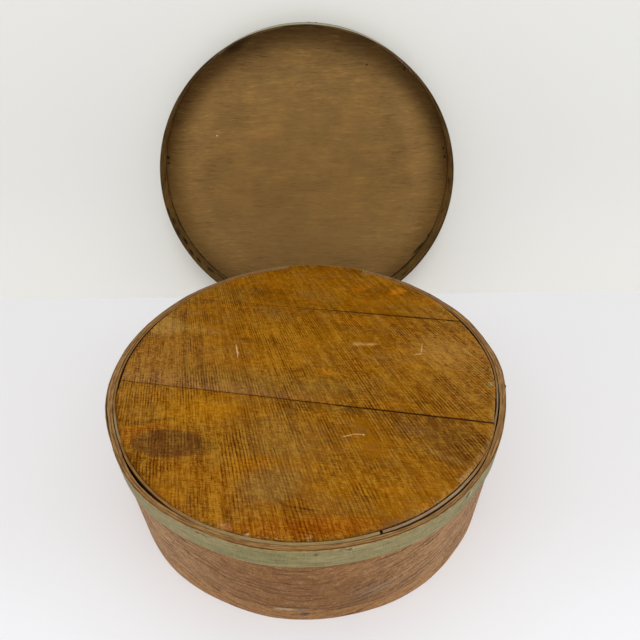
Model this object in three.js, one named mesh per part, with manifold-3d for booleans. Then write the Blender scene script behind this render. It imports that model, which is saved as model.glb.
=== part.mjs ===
// Wooden cheese box: a round bentwood box and its lid, taken apart the way they are shown.
// The box stands mouth down, so that its base of three sawn boards is on top, and the lid
// leans behind it with its open side to the front.
// Lengths are in millimetres and +Z is up. The origin is on the ground, in the middle of
// the space that the two pieces take up.
import * as THREE from 'three';
import { mergeVertices } from 'three/addons/utils/BufferGeometryUtils.js';
import Module from 'manifold-3d';

const wasm = await Module();
wasm.setup();

// Box: the bent side wall and the hoop round its base
const hoopDiameter = 400;
const boxHeight = 130;
const hoopHeight = 24;
const hoopThickness = 1.8;
const hoopLap = 60;
const wallThickness = 4;
const wallLap = 75;
const mouthDrawIn = 2;

// Box: the thin strip inside the wall, round the edge of the base
const linerHeight = 20;
const linerThickness = 2.4;
const linerButtGap = 2.5;

// Box: the three boards of the base, which stand a little proud of the wall's edge
const boardThickness = 12;
const boardProud = 2;
const boardJointGap = 0.8;
const frontJointOffset = 55.5;
const middleBoardWidth = 148.4;
const overhangReach = 5;

// Lid: a thin round panel in a deep rim, which slips over the mouth of the box
const rimThickness = 2.2;
const rimOverlap = 27;
const rimLap = 60;
const panelThickness = 8;
const lidSlack = 4;
const lidStandOff = 57;

// Nails, driven through the strips into the edge of a board
const nailDiameter = 1.8;
const nailLength = 25;
const nailHeadDiameter = 4.6;
const nailHeadThickness = 0.7;
const nailPointLength = 3;
const nailPairSpacing = 9;

// Tacks, driven through a lap and bent over on the inside
const tackDiameter = 1.5;
const tackHeadDiameter = 5;
const tackHeadThickness = 0.6;
const tackClinch = 6;
const tackPairSpacing = 26;

// Clearances
const layerGap = 0.3;
const holeClearance = 0.3;
const cutOverrun = 1;

// Shares: where the ends of a lapped strip are thinned to, and where nails and tacks sit
const lapTipShare = 0.3;
const baseNailDepthShares = [0.5, 0.42, 0.6, 0.42, 0.6, 0.5, 0.46, 0.55, 0.4, 0.62, 0.5, 0.58, 0.44, 0.5];
const wallTackShares = [0.1, 0.3, 0.5, 0.7, 0.9];
const rimTackShare = 0.5;

// Directions, in degrees round the box or the lid, counted from +X
const boardTurn = -9.75;
const frontJointSkew = -0.15;
const backJointSkew = 0.15;
const overhangFrom = 68;
const overhangTo = 98;
const baseNailTurns = [-148, -114, -87.7, -80.5, -49.2, -10, 8, 34, 60, 90, 113, 131, 158, -169];
const hoopSeam = 66;
const hoopLapNailTurns = [70.5, 79];
const wallSeam = 99;
const linerSeam = -73;
const rimSeam = -78;
const rimTackTurn = -69.5;
const lidNailTurns = [13.8, 50, 87, 124, 168.5, 206, 243, 300, 335.4];
const lidLean = 2.8;

// Facets: one turn of a strip, and one turn of a nail
const turnFacets = 96;
const nailFacets = 8;
const facetAngle = 2 * Math.PI / turnFacets;

// Sizes worked out from the ones above
const hoopRadius = hoopDiameter / 2;
const wallRadius = hoopRadius - hoopThickness - layerGap;
const mouthRadius = wallRadius - mouthDrawIn;
const linerRadius = wallRadius - wallThickness - layerGap;
const boardRadius = linerRadius - linerThickness - layerGap;
const boardTop = boxHeight + boardProud;
const backJointOffset = middleBoardWidth - frontJointOffset;
const rimInnerRadius = mouthRadius + lidSlack;
const rimRadius = rimInnerRadius + rimThickness;
const rimHeight = panelThickness + rimOverlap;
const panelRadius = rimInnerRadius - layerGap;

const radians = THREE.MathUtils.degToRad;
const wholeTurn = 2 * Math.PI;

function wood(color, roughness) {
  return new THREE.MeshStandardMaterial({ color, roughness, metalness: 0 });
}

const boardWood = wood(0x8a5a18, 0.6);
const wallWood = wood(0x8f6743, 0.65);
const greenPaint = wood(0x8a8263, 0.6);
const linerWood = wood(0x80623a, 0.75);
const panelWood = wood(0x74562f, 0.6);
const rimWood = wood(0x5f5636, 0.65);
const iron = new THREE.MeshStandardMaterial({ color: 0x3b3028, roughness: 0.7, metalness: 0.6 });

function part(name, geometry, material) {
  const mesh = new THREE.Mesh(geometry, material);
  mesh.name = name;
  return mesh;
}

// Solids: a closed geometry is made a solid, cut or joined, and made a geometry again.
function solidOf(geometry) {
  const bare = geometry.clone();
  bare.deleteAttribute('normal');
  bare.deleteAttribute('uv');
  const merged = mergeVertices(bare);
  return new wasm.Manifold(new wasm.Mesh({
    numProp: 3,
    vertProperties: Float32Array.from(merged.attributes.position.array),
    triVerts: Uint32Array.from(merged.index.array),
  }));
}

function geometryOf(solid) {
  const { vertProperties, triVerts } = solid.getMesh();
  const geometry = new THREE.BufferGeometry();
  geometry.setAttribute('position', new THREE.BufferAttribute(vertProperties, 3));
  geometry.setIndex(new THREE.BufferAttribute(triVerts, 1));
  geometry.computeVertexNormals();
  return geometry;
}

function drilled(geometry, holes) {
  let solid = solidOf(geometry);
  for (const hole of holes) {
    solid = solid.subtract(solidOf(hole));
  }
  return geometryOf(solid);
}

function joined(first, ...others) {
  let solid = solidOf(first);
  for (const other of others) {
    solid = solid.add(solidOf(other));
  }
  return geometryOf(solid);
}

// Plan outlines. Every arc has a point at each whole facet of the turn, so that strips
// lying inside each other have their corners in line and keep an even gap.
function pointAt(radius, angle) {
  return new THREE.Vector2(radius * Math.cos(angle), radius * Math.sin(angle));
}

function arc(radiusAt, from, to) {
  const angles = [from];
  for (let facet = Math.floor(from / facetAngle) + 1; facet * facetAngle < to; facet++) {
    const angle = facet * facetAngle;
    if (angle - angles.at(-1) > facetAngle / 10 && to - angle > facetAngle / 10) {
      angles.push(angle);
    }
  }
  angles.push(to);
  return angles.map((angle) => pointAt(radiusAt(angle), angle));
}

// A bent strip whose ends lap. Each end is planed to a thin tip over the length of the
// lap, so that the two lie on each other and the strip keeps its thickness all round.
function lappedStripOutline({ radius, thickness, lap, seam }) {
  const innerRadius = radius - thickness;
  const tip = thickness * lapTipShare;
  const start = radians(seam);
  const lapAngle = lap / radius;
  const slip = layerGap / radius;
  const parting = (angle) => innerRadius
    + THREE.MathUtils.lerp(tip, thickness - tip, (angle - start) / lapAngle);
  return [
    ...arc((angle) => parting(angle) - layerGap / 2, start, start + lapAngle),
    ...arc(() => radius, start + lapAngle, start + lapAngle + wholeTurn - slip),
    ...arc((angle) => parting(angle - wholeTurn) + layerGap / 2,
      start + wholeTurn - slip, start + lapAngle + wholeTurn - slip).reverse(),
    ...arc(() => innerRadius, start, start + wholeTurn - slip).reverse(),
  ];
}

// A bent strip whose ends only meet, with a gap between them.
function buttedStripOutline({ radius, thickness, gap, seam }) {
  const halfGap = gap / radius / 2;
  const start = radians(seam) + halfGap;
  const end = radians(seam) + wholeTurn - halfGap;
  return [
    ...arc(() => radius, start, end),
    ...arc(() => radius - thickness, start, end).reverse(),
  ];
}

function upright(outline, bottom, top, steps = 1) {
  const shape = new THREE.Shape(outline);
  const geometry = new THREE.ExtrudeGeometry(shape, { depth: top - bottom, steps, bevelEnabled: false });
  return geometry.translate(0, 0, bottom);
}

// The wall is straight where the hoop and the liner hold it, and draws in below them
// towards the mouth. It comes in as two equal storeys, the lower one for the taper.
function drawnInToMouth(geometry) {
  const straightFrom = boxHeight - Math.max(hoopHeight, linerHeight);
  const place = geometry.attributes.position;
  const corner = new THREE.Vector3();
  for (let i = 0; i < place.count; i++) {
    corner.fromBufferAttribute(place, i);
    const storey = 2 * corner.z / boxHeight;
    const radius = Math.hypot(corner.x, corner.y);
    const drawn = (radius - mouthDrawIn * Math.max(0, 1 - storey)) / radius;
    const height = storey < 1
      ? THREE.MathUtils.lerp(0, straightFrom, storey)
      : THREE.MathUtils.lerp(straightFrom, boxHeight, storey - 1);
    place.setXYZ(i, corner.x * drawn, corner.y * drawn, height);
  }
  geometry.computeVertexNormals();
  return geometry;
}

function wallRadiusAt(height) {
  const straightFrom = boxHeight - Math.max(hoopHeight, linerHeight);
  return wallRadius - mouthDrawIn * Math.max(0, 1 - height / straightFrom);
}

// Nails and tacks are turned on the Y axis: the head's underside is at zero, the shank
// runs down from it and the head stands above it.
function nailGeometry() {
  const shank = nailDiameter / 2;
  const head = nailHeadDiameter / 2;
  const profile = [
    new THREE.Vector2(0, -nailLength),
    new THREE.Vector2(shank, nailPointLength - nailLength),
    new THREE.Vector2(shank, 0),
    new THREE.Vector2(head, 0),
    new THREE.Vector2(head, nailHeadThickness / 2),
    new THREE.Vector2(shank, nailHeadThickness),
    new THREE.Vector2(0, nailHeadThickness),
  ];
  return new THREE.LatheGeometry(profile, nailFacets);
}

// A tack goes through the grip, the layers that it holds, and its point is bent over
// along the grain behind them.
function tackGeometry(grip) {
  const shank = tackDiameter / 2;
  const head = tackHeadDiameter / 2;
  const bend = -(grip + shank);
  const profile = [
    new THREE.Vector2(0, bend - shank),
    new THREE.Vector2(shank, bend - shank),
    new THREE.Vector2(shank, 0),
    new THREE.Vector2(head, 0),
    new THREE.Vector2(shank, tackHeadThickness),
    new THREE.Vector2(0, tackHeadThickness),
  ];
  const clinch = new THREE.CylinderGeometry(shank / 2, shank, tackClinch, nailFacets);
  clinch.rotateX(-Math.PI / 2);
  clinch.translate(0, bend, -tackClinch / 2);
  return joined(new THREE.LatheGeometry(profile, nailFacets), clinch);
}

function holeGeometry(diameter, depth) {
  const hole = new THREE.CylinderGeometry(
    diameter / 2 + holeClearance, diameter / 2 + holeClearance, depth + cutOverrun, nailFacets);
  return hole.translate(0, (cutOverrun - depth) / 2, 0);
}

// A fastener's seat: the head lies on the surface at that radius, and the shank points
// to the middle of the box or the lid.
function seat(radius, turn, height) {
  const angle = radians(turn);
  const place = pointAt(radius + layerGap, angle);
  return { position: new THREE.Vector3(place.x, place.y, height), turn: angle - Math.PI / 2 };
}

function atSeat(geometry, { position, turn }) {
  return geometry.clone().rotateZ(turn).translate(position.x, position.y, position.z);
}

function seated(name, geometry, place) {
  const mesh = part(name, geometry, iron);
  mesh.position.copy(place.position);
  mesh.rotation.z = place.turn;
  return mesh;
}

function numbered(name, index) {
  return `${name}_${String(index + 1).padStart(2, '0')}`;
}

// Where the fasteners sit
const baseNailSeats = [...baseNailTurns, ...hoopLapNailTurns].map((turn, index) => {
  const share = baseNailDepthShares[index % baseNailDepthShares.length];
  return seat(hoopRadius, turn, boardTop - boardThickness * share);
});

const wallTackSeats = wallTackShares.map((share) => {
  const height = (boxHeight - hoopHeight) * share;
  const turn = wallSeam + THREE.MathUtils.radToDeg(wallLap / wallRadius / 2);
  return seat(wallRadiusAt(height), turn, height);
});

const lidNailSeats = lidNailTurns.flatMap((turn) => {
  const half = THREE.MathUtils.radToDeg(nailPairSpacing / rimRadius / 2);
  return [turn - half, turn + half].map((one) => seat(rimRadius, one, panelThickness / 2));
});

const rimTackSeats = [-1, 1].map((side) => {
  const half = THREE.MathUtils.radToDeg(tackPairSpacing / rimRadius / 2);
  const height = THREE.MathUtils.lerp(panelThickness, rimHeight, rimTackShare);
  return seat(rimRadius, rimTackTurn + side * half, height);
});

// Base boards: a disc cut in three by two joints that run nearly along each other. Each
// joint meets the disc's edge at two angles, to the right and to the left.
function jointEnds(offset, skew) {
  const across = radians(boardTurn + skew) + Math.PI / 2;
  const reach = Math.acos(offset / boardRadius);
  return { right: across - reach, left: across + reach };
}

function baseBoards() {
  const edge = () => boardRadius;
  const half = boardJointGap / 2;
  const front = jointEnds(-frontJointOffset - half, frontJointSkew);
  const middleFront = jointEnds(-frontJointOffset + half, frontJointSkew);
  const middleBack = jointEnds(backJointOffset - half, backJointSkew);
  const back = jointEnds(backJointOffset + half, backJointSkew);
  const bottom = boardTop - boardThickness;
  const outlines = {
    front: arc(edge, front.left, front.right + wholeTurn),
    middle: [
      ...arc(edge, middleFront.right, middleBack.right),
      ...arc(edge, middleBack.left, middleFront.left),
    ],
    back: arc(edge, back.right, back.left),
  };
  const holes = baseNailSeats.map((place) => atSeat(holeGeometry(nailDiameter, nailLength), place));
  return Object.entries(outlines).map(([name, outline]) => {
    const blank = upright(outline, bottom, boardTop);
    const board = name === 'back' ? joined(blank, backOverhang()) : blank;
    return part(`base_board_${name}`, drilled(board, holes), boardWood);
  });
}

// The back board was sawn a little long for about a hand's breadth. There its proud face
// laps over the edges of the liner and the wall.
function backOverhang() {
  const inside = boardRadius - overhangReach;
  const outside = boardRadius + overhangReach;
  const outline = [
    ...arc(() => outside, radians(overhangFrom), radians(overhangTo)),
    ...arc(() => inside, radians(overhangFrom), radians(overhangTo)).reverse(),
  ];
  return upright(outline, boxHeight + layerGap, boardTop);
}

function sideWall() {
  const outline = lappedStripOutline({
    radius: wallRadius, thickness: wallThickness, lap: wallLap, seam: wallSeam,
  });
  const blank = drawnInToMouth(upright(outline, 0, boxHeight, 2));
  const holes = [
    ...baseNailSeats.map((place) => atSeat(holeGeometry(nailDiameter, nailLength), place)),
    ...wallTackSeats.map((place) => atSeat(holeGeometry(tackDiameter, nailLength), place)),
  ];
  return part('side_wall', drilled(blank, holes), wallWood);
}

function baseHoop() {
  const outline = lappedStripOutline({
    radius: hoopRadius, thickness: hoopThickness, lap: hoopLap, seam: hoopSeam,
  });
  const holes = baseNailSeats.map((place) => atSeat(holeGeometry(nailDiameter, nailLength), place));
  const blank = upright(outline, boxHeight - hoopHeight, boxHeight);
  return part('base_hoop', drilled(blank, holes), greenPaint);
}

function baseLiner() {
  const outline = buttedStripOutline({
    radius: linerRadius, thickness: linerThickness, gap: linerButtGap, seam: linerSeam,
  });
  const holes = baseNailSeats.map((place) => atSeat(holeGeometry(nailDiameter, nailLength), place));
  const blank = upright(outline, boxHeight - linerHeight, boxHeight);
  return part('base_liner', drilled(blank, holes), linerWood);
}

function boxBody() {
  const body = new THREE.Group();
  const nail = nailGeometry();
  const tack = tackGeometry(wallThickness + 2 * layerGap);
  body.add(...baseBoards(), baseLiner(), sideWall(), baseHoop());
  baseNailSeats.forEach((place, index) => body.add(seated(numbered('base_nail', index), nail, place)));
  wallTackSeats.forEach((place, index) => body.add(seated(numbered('wall_tack', index), tack, place)));
  return body;
}

// Lid, in its own frame: the panel lies on the XY plane and the rim stands up round it.
function lidPanel() {
  const outline = arc(() => panelRadius, 0, wholeTurn);
  outline.pop();
  const holes = lidNailSeats.map((place) => atSeat(holeGeometry(nailDiameter, nailLength), place));
  return part('lid_panel', drilled(upright(outline, 0, panelThickness), holes), panelWood);
}

function lidRim() {
  const outline = lappedStripOutline({
    radius: rimRadius, thickness: rimThickness, lap: rimLap, seam: rimSeam,
  });
  const holes = [
    ...lidNailSeats.map((place) => atSeat(holeGeometry(nailDiameter, nailLength), place)),
    ...rimTackSeats.map((place) => atSeat(holeGeometry(tackDiameter, nailLength), place)),
  ];
  return part('lid_rim', drilled(upright(outline, 0, rimHeight), holes), rimWood);
}

// The lid stands on the back edge of its rim behind the box, and leans back a little.
function leaningLid() {
  const lid = new THREE.Group();
  const nail = nailGeometry();
  const tack = tackGeometry(rimThickness + 2 * layerGap);
  lid.add(lidPanel(), lidRim());
  lidNailSeats.forEach((place, index) => lid.add(seated(numbered('lid_nail', index), nail, place)));
  rimTackSeats.forEach((place, index) => lid.add(seated(numbered('rim_tack', index), tack, place)));
  const lean = radians(lidLean);
  const footY = hoopRadius + lidStandOff + rimHeight * Math.cos(lean);
  lid.rotation.x = Math.PI / 2 - lean;
  lid.position.set(0, footY + rimRadius * Math.sin(lean), rimRadius * Math.cos(lean));
  return lid;
}

const cheeseBox = new THREE.Group();
cheeseBox.add(boxBody(), leaningLid());

const bounds = new THREE.Box3().setFromObject(cheeseBox, true);
const middle = bounds.getCenter(new THREE.Vector3());
cheeseBox.position.set(-middle.x, -middle.y, -bounds.min.z);

export default cheeseBox;
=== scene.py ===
# %% [markdown]
# # A wooden cheese box with its lid off
# The real thing is a round box of bent wood, as cheese was once sold in. Here it stands
# mouth down, so that the three sawn boards of its base are on top. A hoop painted green
# runs round the base, and the lid leans on a wall behind the box, open side to the front.
# The frame holds the measured solids. Each step below dresses one of them.

# %% Load the frame
import math
import bmesh
import bpy
from mathutils import Matrix, Vector, noise


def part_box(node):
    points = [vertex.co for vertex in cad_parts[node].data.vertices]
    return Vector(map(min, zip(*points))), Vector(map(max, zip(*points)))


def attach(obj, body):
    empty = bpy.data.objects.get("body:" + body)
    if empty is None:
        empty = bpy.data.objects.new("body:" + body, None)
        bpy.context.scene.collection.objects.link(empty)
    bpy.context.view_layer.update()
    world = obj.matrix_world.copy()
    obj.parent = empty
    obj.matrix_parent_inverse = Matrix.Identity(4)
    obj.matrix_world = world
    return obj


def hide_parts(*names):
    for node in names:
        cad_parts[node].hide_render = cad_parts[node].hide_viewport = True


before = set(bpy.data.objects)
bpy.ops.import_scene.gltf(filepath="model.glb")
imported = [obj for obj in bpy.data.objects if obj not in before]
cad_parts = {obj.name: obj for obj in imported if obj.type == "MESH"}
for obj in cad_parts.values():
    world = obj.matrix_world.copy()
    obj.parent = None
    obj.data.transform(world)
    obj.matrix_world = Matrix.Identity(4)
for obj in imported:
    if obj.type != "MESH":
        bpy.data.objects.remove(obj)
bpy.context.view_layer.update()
print("solids in the frame:", len(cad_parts))

# %% [markdown]
# The camera comes first. It could be placed by eye, but then every later comparison would
# be off. Its place, lens and tilt were worked out from the round edges of the base and
# the lid in the photograph, so the render lines up with the photograph.

# %% Set up the camera
camera_place = Vector((0.011886, -0.427573, 0.473183))
camera_down, camera_left, camera_roll = (math.radians(angle) for angle in (37.619, -0.311, -0.635))

forward = Vector((-math.sin(camera_left) * math.cos(camera_down),
                  math.cos(camera_left) * math.cos(camera_down), -math.sin(camera_down)))
level_right = Vector((math.cos(camera_left), math.sin(camera_left), 0))
level_up = level_right.cross(forward)
right = math.cos(camera_roll) * level_right + math.sin(camera_roll) * level_up
up = math.cos(camera_roll) * level_up - math.sin(camera_roll) * level_right

camera_data = bpy.data.cameras.new("camera")
camera_data.lens = 27.03
camera_data.sensor_width = 36
camera = bpy.data.objects.new("camera", camera_data)
camera.matrix_world = Matrix.Translation(camera_place) @ Matrix((right, up, -forward)).transposed().to_4x4()
bpy.context.scene.collection.objects.link(camera)
bpy.context.scene.camera = camera
bpy.context.scene.view_settings.view_transform = "Standard"
print("camera is", round(camera_place.length, 3), "m from the middle")

# %% [markdown]
# Nodes could be wired one by one, but that takes four lines each. With a few short
# helpers a finish reads like a sum. A colour is written as a paint chart gives it, from 0
# to 255. A socket that gets another socket is linked to it, and a socket that gets a
# number or a colour keeps that.

# %% Helpers for nodes
def chart(red, green, blue):
    shares = [value / 255 for value in (red, green, blue)]
    linear = [s / 12.92 if s <= 0.04045 else ((s + 0.055) / 1.055) ** 2.4 for s in shares]
    return (*linear, 1.0)


def feed(tree, socket, value):
    if isinstance(value, bpy.types.NodeSocket):
        tree.links.new(value, socket)
    elif value is not None:
        socket.default_value = value


def put(tree, kind, *values, **settings):
    node = tree.nodes.new("ShaderNode" + kind)
    for name, setting in settings.items():
        setattr(node, name, setting)
    for socket, value in zip(node.inputs, values):
        feed(tree, socket, value)
    return node


def calc(tree, operation, first, second=None, third=None):
    return put(tree, "Math", first, second, third, operation=operation).outputs[0]


def times(tree, first, second):
    return calc(tree, "MULTIPLY", first, second)


def away_from(tree, value, middle):
    return calc(tree, "ABSOLUTE", calc(tree, "SUBTRACT", value, middle))


def level(tree, value, low, high, to_low=0.0, to_high=1.0):
    """Turns low to to_low and high to to_high, with a smooth step in between."""
    return put(tree, "MapRange", value, low, high, to_low, to_high,
               interpolation_type="SMOOTHSTEP").outputs[0]


def layer(tree, amount, under, over, mode="MIX"):
    node = put(tree, "Mix", amount, data_type="RGBA", blend_type=mode)
    feed(tree, node.inputs[6], under)
    feed(tree, node.inputs[7], over)
    return node.outputs[2]


def placed(tree, vector, shift=(0, 0, 0), turn=(0, 0, 0), scale=(1, 1, 1), kind="POINT"):
    return put(tree, "Mapping", vector, shift, turn, scale, vector_type=kind).outputs[0]


def cloud(tree, vector, size, detail=2.0, rough=0.5, warp=0.0):
    """Noise, from 0 to 1, whose lumps are as long in X, Y and Z as size says."""
    stretched = placed(tree, vector, scale=tuple(1 / length for length in size))
    return put(tree, "TexNoise", stretched, None, 1.0, detail, rough, None, None, None, warp).outputs[0]


def crisp(tree, vector, size, detail, rough, low=0.32):
    """A cloud whose middle range, from low to 1 - low, is spread out from 0 to 1."""
    return level(tree, cloud(tree, vector, size, detail, rough), low, 1 - low)


def stronger(tree, shade, amount):
    """Pulls a shade away from 0.5 when the amount is over 1, and towards it when under."""
    return calc(tree, "MULTIPLY_ADD", calc(tree, "SUBTRACT", shade, 0.5), amount, 0.5)


def new_group(name, inputs, outputs):
    group = bpy.data.node_groups.new(name, "ShaderNodeTree")
    for label, kind, default in inputs:
        socket = group.interface.new_socket(label, in_out="INPUT", socket_type="NodeSocket" + kind)
        socket.default_value = default
    for label, kind in outputs:
        group.interface.new_socket(label, in_out="OUTPUT", socket_type="NodeSocket" + kind)
    return group, group.nodes.new("NodeGroupInput").outputs, group.nodes.new("NodeGroupOutput").inputs


def use_group(tree, group, *values):
    node = put(tree, "Group", node_tree=group)
    for socket, value in zip(node.inputs, values):
        feed(tree, socket, value)
    return node.outputs


def new_material(name, roughness, gloss=0.5):
    material = bpy.data.materials.new(name)
    material.use_nodes = True
    surface = material.node_tree.nodes["Principled BSDF"]
    surface.inputs["Roughness"].default_value = roughness
    surface.inputs["Specular IOR Level"].default_value = gloss
    return material, material.node_tree, surface


def coat(tree, surface, colour, height, depth):
    """Colour and bump: the height goes from 0 to 1, and depth is that step in metres."""
    feed(tree, surface.inputs["Base Color"], colour)
    bump = put(tree, "Bump")
    bump.inputs["Distance"].default_value = depth
    bump.inputs["Strength"].default_value = 1.0
    feed(tree, bump.inputs["Height"], height)
    feed(tree, surface.inputs["Normal"], bump.outputs[0])


print("an example colour:", [round(value, 3) for value in chart(138, 90, 24)])

# %% [markdown]
# The photograph was taken on a white table against a white wall, under soft light from
# above and a little from the right. The floor and the wall are scenery, not part of the
# object. The wall is a little paler at its foot and the table in front of the box, to
# make up for the light that the object takes away there. Only the camera and reflections
# see the wall, and only from its front, so it takes no light away from the object and
# hides nothing when the box is looked at from behind.

# %% Lay the floor and put up the wall
def scenery(name, corners, roughness):
    shape = bmesh.new()
    bmesh.ops.create_grid(shape, x_segments=1, y_segments=1, size=0.5)
    start, side, rise = (Vector(point) for point in corners)
    for corner in shape.verts:
        corner.co = start + (corner.co.x + 0.5) * (side - start) + (corner.co.y + 0.5) * (rise - start)
    mesh = bpy.data.meshes.new(name)
    shape.to_mesh(mesh)
    shape.free()
    sheet = bpy.data.objects.new(name, mesh)
    bpy.context.scene.collection.objects.link(sheet)
    material, tree, surface = new_material(name, roughness, 0.3)
    mesh.materials.append(material)
    return tree, surface


half, behind = 6, 0.2566
tree, surface = scenery("floor", ((-half, -half, 0), (half, -half, 0), (-half, half, 0)), 0.5)
place = put(tree, "SeparateXYZ", put(tree, "TexCoord").outputs["Object"]).outputs
feed(tree, surface.inputs["Base Color"],
     layer(tree, level(tree, place["Y"], -0.12, -0.3), chart(232, 231, 232), chart(239, 240, 243)))

tree, surface = scenery("backdrop", ((-half, behind, 0), (half, behind, 0), (-half, behind, 5)), 0.8)
place = put(tree, "SeparateXYZ", put(tree, "TexCoord").outputs["Object"]).outputs
feed(tree, surface.inputs["Base Color"],
     layer(tree, level(tree, place["Z"], 0.3, 0), chart(228, 228, 224), chart(238, 237, 232)))
light_path = put(tree, "LightPath").outputs
seen = calc(tree, "MAXIMUM", light_path["Is Camera Ray"], light_path["Is Glossy Ray"])
seen = calc(tree, "MAXIMUM", seen, light_path["Is Transmission Ray"])
front = calc(tree, "SUBTRACT", 1.0, put(tree, "NewGeometry").outputs["Backfacing"])
shown = put(tree, "MixShader", times(tree, seen, front),
            put(tree, "BsdfTransparent").outputs[0], surface.outputs[0])
tree.links.new(shown.outputs[0], tree.nodes["Material Output"].inputs[0])
print("floor and wall are up, the wall", behind, "m behind the middle")

# %% [markdown]
# Part of the light comes evenly from the room. The rest comes from one big square lamp,
# high up in front of the box. A small lamp would draw hard shadows, and this one gives
# the shadow under the lid's rim the soft edge that it has in the photograph.

# %% Hang the lamp
def lamp(name, place, target, size, power):
    data = bpy.data.lights.new(name, "AREA")
    data.shape = "SQUARE"
    data.size, data.energy = size, power
    light = bpy.data.objects.new(name, data)
    light.location = place
    light.rotation_mode = "QUATERNION"
    light.rotation_quaternion = (Vector(target) - Vector(place)).to_track_quat("-Z", "Y")
    bpy.context.scene.collection.objects.link(light)


lamp("ceiling_lamp", place=(0.16, -1.75, 2.75), target=(0, 0.05, 0.12), size=1.45, power=47)
world = bpy.data.worlds.new("room")
world.use_nodes = True
world.node_tree.nodes["Background"].inputs["Color"].default_value = (1, 1, 1, 1)
world.node_tree.nodes["Background"].inputs["Strength"].default_value = 0.72
bpy.context.scene.world = world
print("lamp:", [light.name for light in bpy.data.lights])

# %% [markdown]
# The wood could be worked where it stands, in metres, but round things are simpler about
# their own axis, and a maker thinks in millimetres. So every piece is made that way first
# and then put in its place. The lid is worked lying flat, rim up, and then leant back.
# Finishes measure in the same way, about the piece's own axis, so grain and marks stay
# where they belong on the leaning lid too.

# %% Places of the box and the lid
hoop_low, hoop_high = (Vector(corner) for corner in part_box("base_hoop"))
box_axis = Vector(((hoop_low.x + hoop_high.x) / 2, (hoop_low.y + hoop_high.y) / 2, 0))
in_metres = Matrix.Scale(0.001, 4)
box_place = Matrix.Translation(box_axis) @ in_metres
lid_middle = Vector((0, 0.246416, 0.201859))
lid_turn = math.radians(87.2)
lid_place = Matrix.Translation(lid_middle) @ Matrix.Rotation(lid_turn, 4, "X") @ in_metres


def box_millimetres(tree):
    where = put(tree, "TexCoord").outputs["Object"]
    return placed(tree, where, shift=tuple(-1000 * box_axis), scale=(1000, 1000, 1000))


def lid_millimetres(tree):
    where = put(tree, "TexCoord").outputs["Object"]
    return placed(tree, where, tuple(lid_middle), (lid_turn, 0, 0), (0.001, 0.001, 0.001), "TEXTURE")


def finish_piece(name, shape, place, material, body, nodes):
    bmesh.ops.transform(shape, matrix=place, verts=shape.verts[:])
    bmesh.ops.recalc_face_normals(shape, faces=shape.faces[:])
    loose = sum(not edge.is_manifold for edge in shape.edges)
    mesh = bpy.data.meshes.new(name)
    shape.to_mesh(mesh)
    shape.free()
    mesh.shade_smooth()
    mesh.set_sharp_from_angle(angle=math.radians(40))
    mesh.materials.append(material)
    piece = bpy.data.objects.new(name, mesh)
    bpy.context.scene.collection.objects.link(piece)
    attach(piece, body)
    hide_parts(*nodes)
    print(f"{name}: {len(mesh.polygons)} faces, {loose} open edges")


print("box axis at", [round(value, 4) for value in box_axis])

# %% [markdown]
# Effects that several finishes share are node groups: each is wired once and gets its own
# values wherever it is used. A patch is a soft-edged oval with a ragged outline, for
# stains and scuffs. Shading takes a flat tone and makes it darker or lighter by a value
# from 0 to 1, the way oiled wood does: the dark places turn redder, and the light ones
# gain the glow of that wood. A knot is an oval with growth rings.

# %% Groups: patch, shading and knot
oval_inputs = [("Vector", "Vector", (0, 0, 0)), ("Centre", "Vector", (0, 0, 0)), ("Turn", "Float", 0),
               ("Half Size", "Vector", (10, 10, 10))]


def oval_reach(tree, inputs, lump, rough, ragged):
    """How far out in an oval a place lies: 0 in the middle and 1 at its ragged outline."""
    offset = put(tree, "VectorMath", inputs["Vector"], inputs["Centre"], operation="SUBTRACT")
    turned = put(tree, "VectorRotate", offset.outputs[0], rotation_type="Z_AXIS")
    feed(tree, turned.inputs["Angle"], times(tree, inputs["Turn"], -1))
    oval = put(tree, "VectorMath", turned.outputs[0], inputs["Half Size"], operation="DIVIDE")
    reach = put(tree, "VectorMath", oval.outputs[0], operation="LENGTH").outputs["Value"]
    shake = calc(tree, "SUBTRACT", cloud(tree, inputs["Vector"], (lump, lump, lump), 4, rough), 0.5)
    return calc(tree, "MULTIPLY_ADD", shake, ragged, reach)


patch, patch_in, patch_out = new_group(
    "patch", oval_inputs + [("Softness", "Float", 0.3), ("Ragged", "Float", 0.3)], [("Mask", "Float")])
reach = oval_reach(patch, patch_in, 4, 0.65, times(patch, patch_in["Ragged"], 3))
feed(patch, patch_out["Mask"], level(patch, reach, calc(patch, "ADD", 1.0, patch_in["Softness"]),
                                     calc(patch, "SUBTRACT", 1.0, patch_in["Softness"])))

knot, knot_in, knot_out = new_group(
    "knot", oval_inputs + [("Rings", "Float", 5)], [("Mask", "Float"), ("Ring", "Float")])
reach = oval_reach(knot, knot_in, 12, 0.6, 0.45)
feed(knot, knot_out["Mask"], level(knot, reach, 1.08, 0.94))
rings = times(knot, knot_in["Rings"], 2 * math.pi)
feed(knot, knot_out["Ring"], calc(knot, "SINE", times(knot, reach, rings)))

shading, shading_in, shading_out = new_group("shading", [
    ("Tone", "Color", (0.5, 0.5, 0.5, 1)), ("Shade", "Float", 0.5),
    ("Glow", "Color", (0.16, 0.11, 0.02, 1))], [("Color", "Color")])
dark = layer(shading, level(shading, shading_in["Shade"], 0.5, 0.0), shading_in["Tone"],
             (0.36, 0.28, 0.12, 1), "MULTIPLY")
lighter = layer(shading, 1.0, shading_in["Tone"], shading_in["Glow"], "ADD")
feed(shading, shading_out["Color"],
     layer(shading, level(shading, shading_in["Shade"], 0.5, 1.0), dark, lighter))


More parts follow.
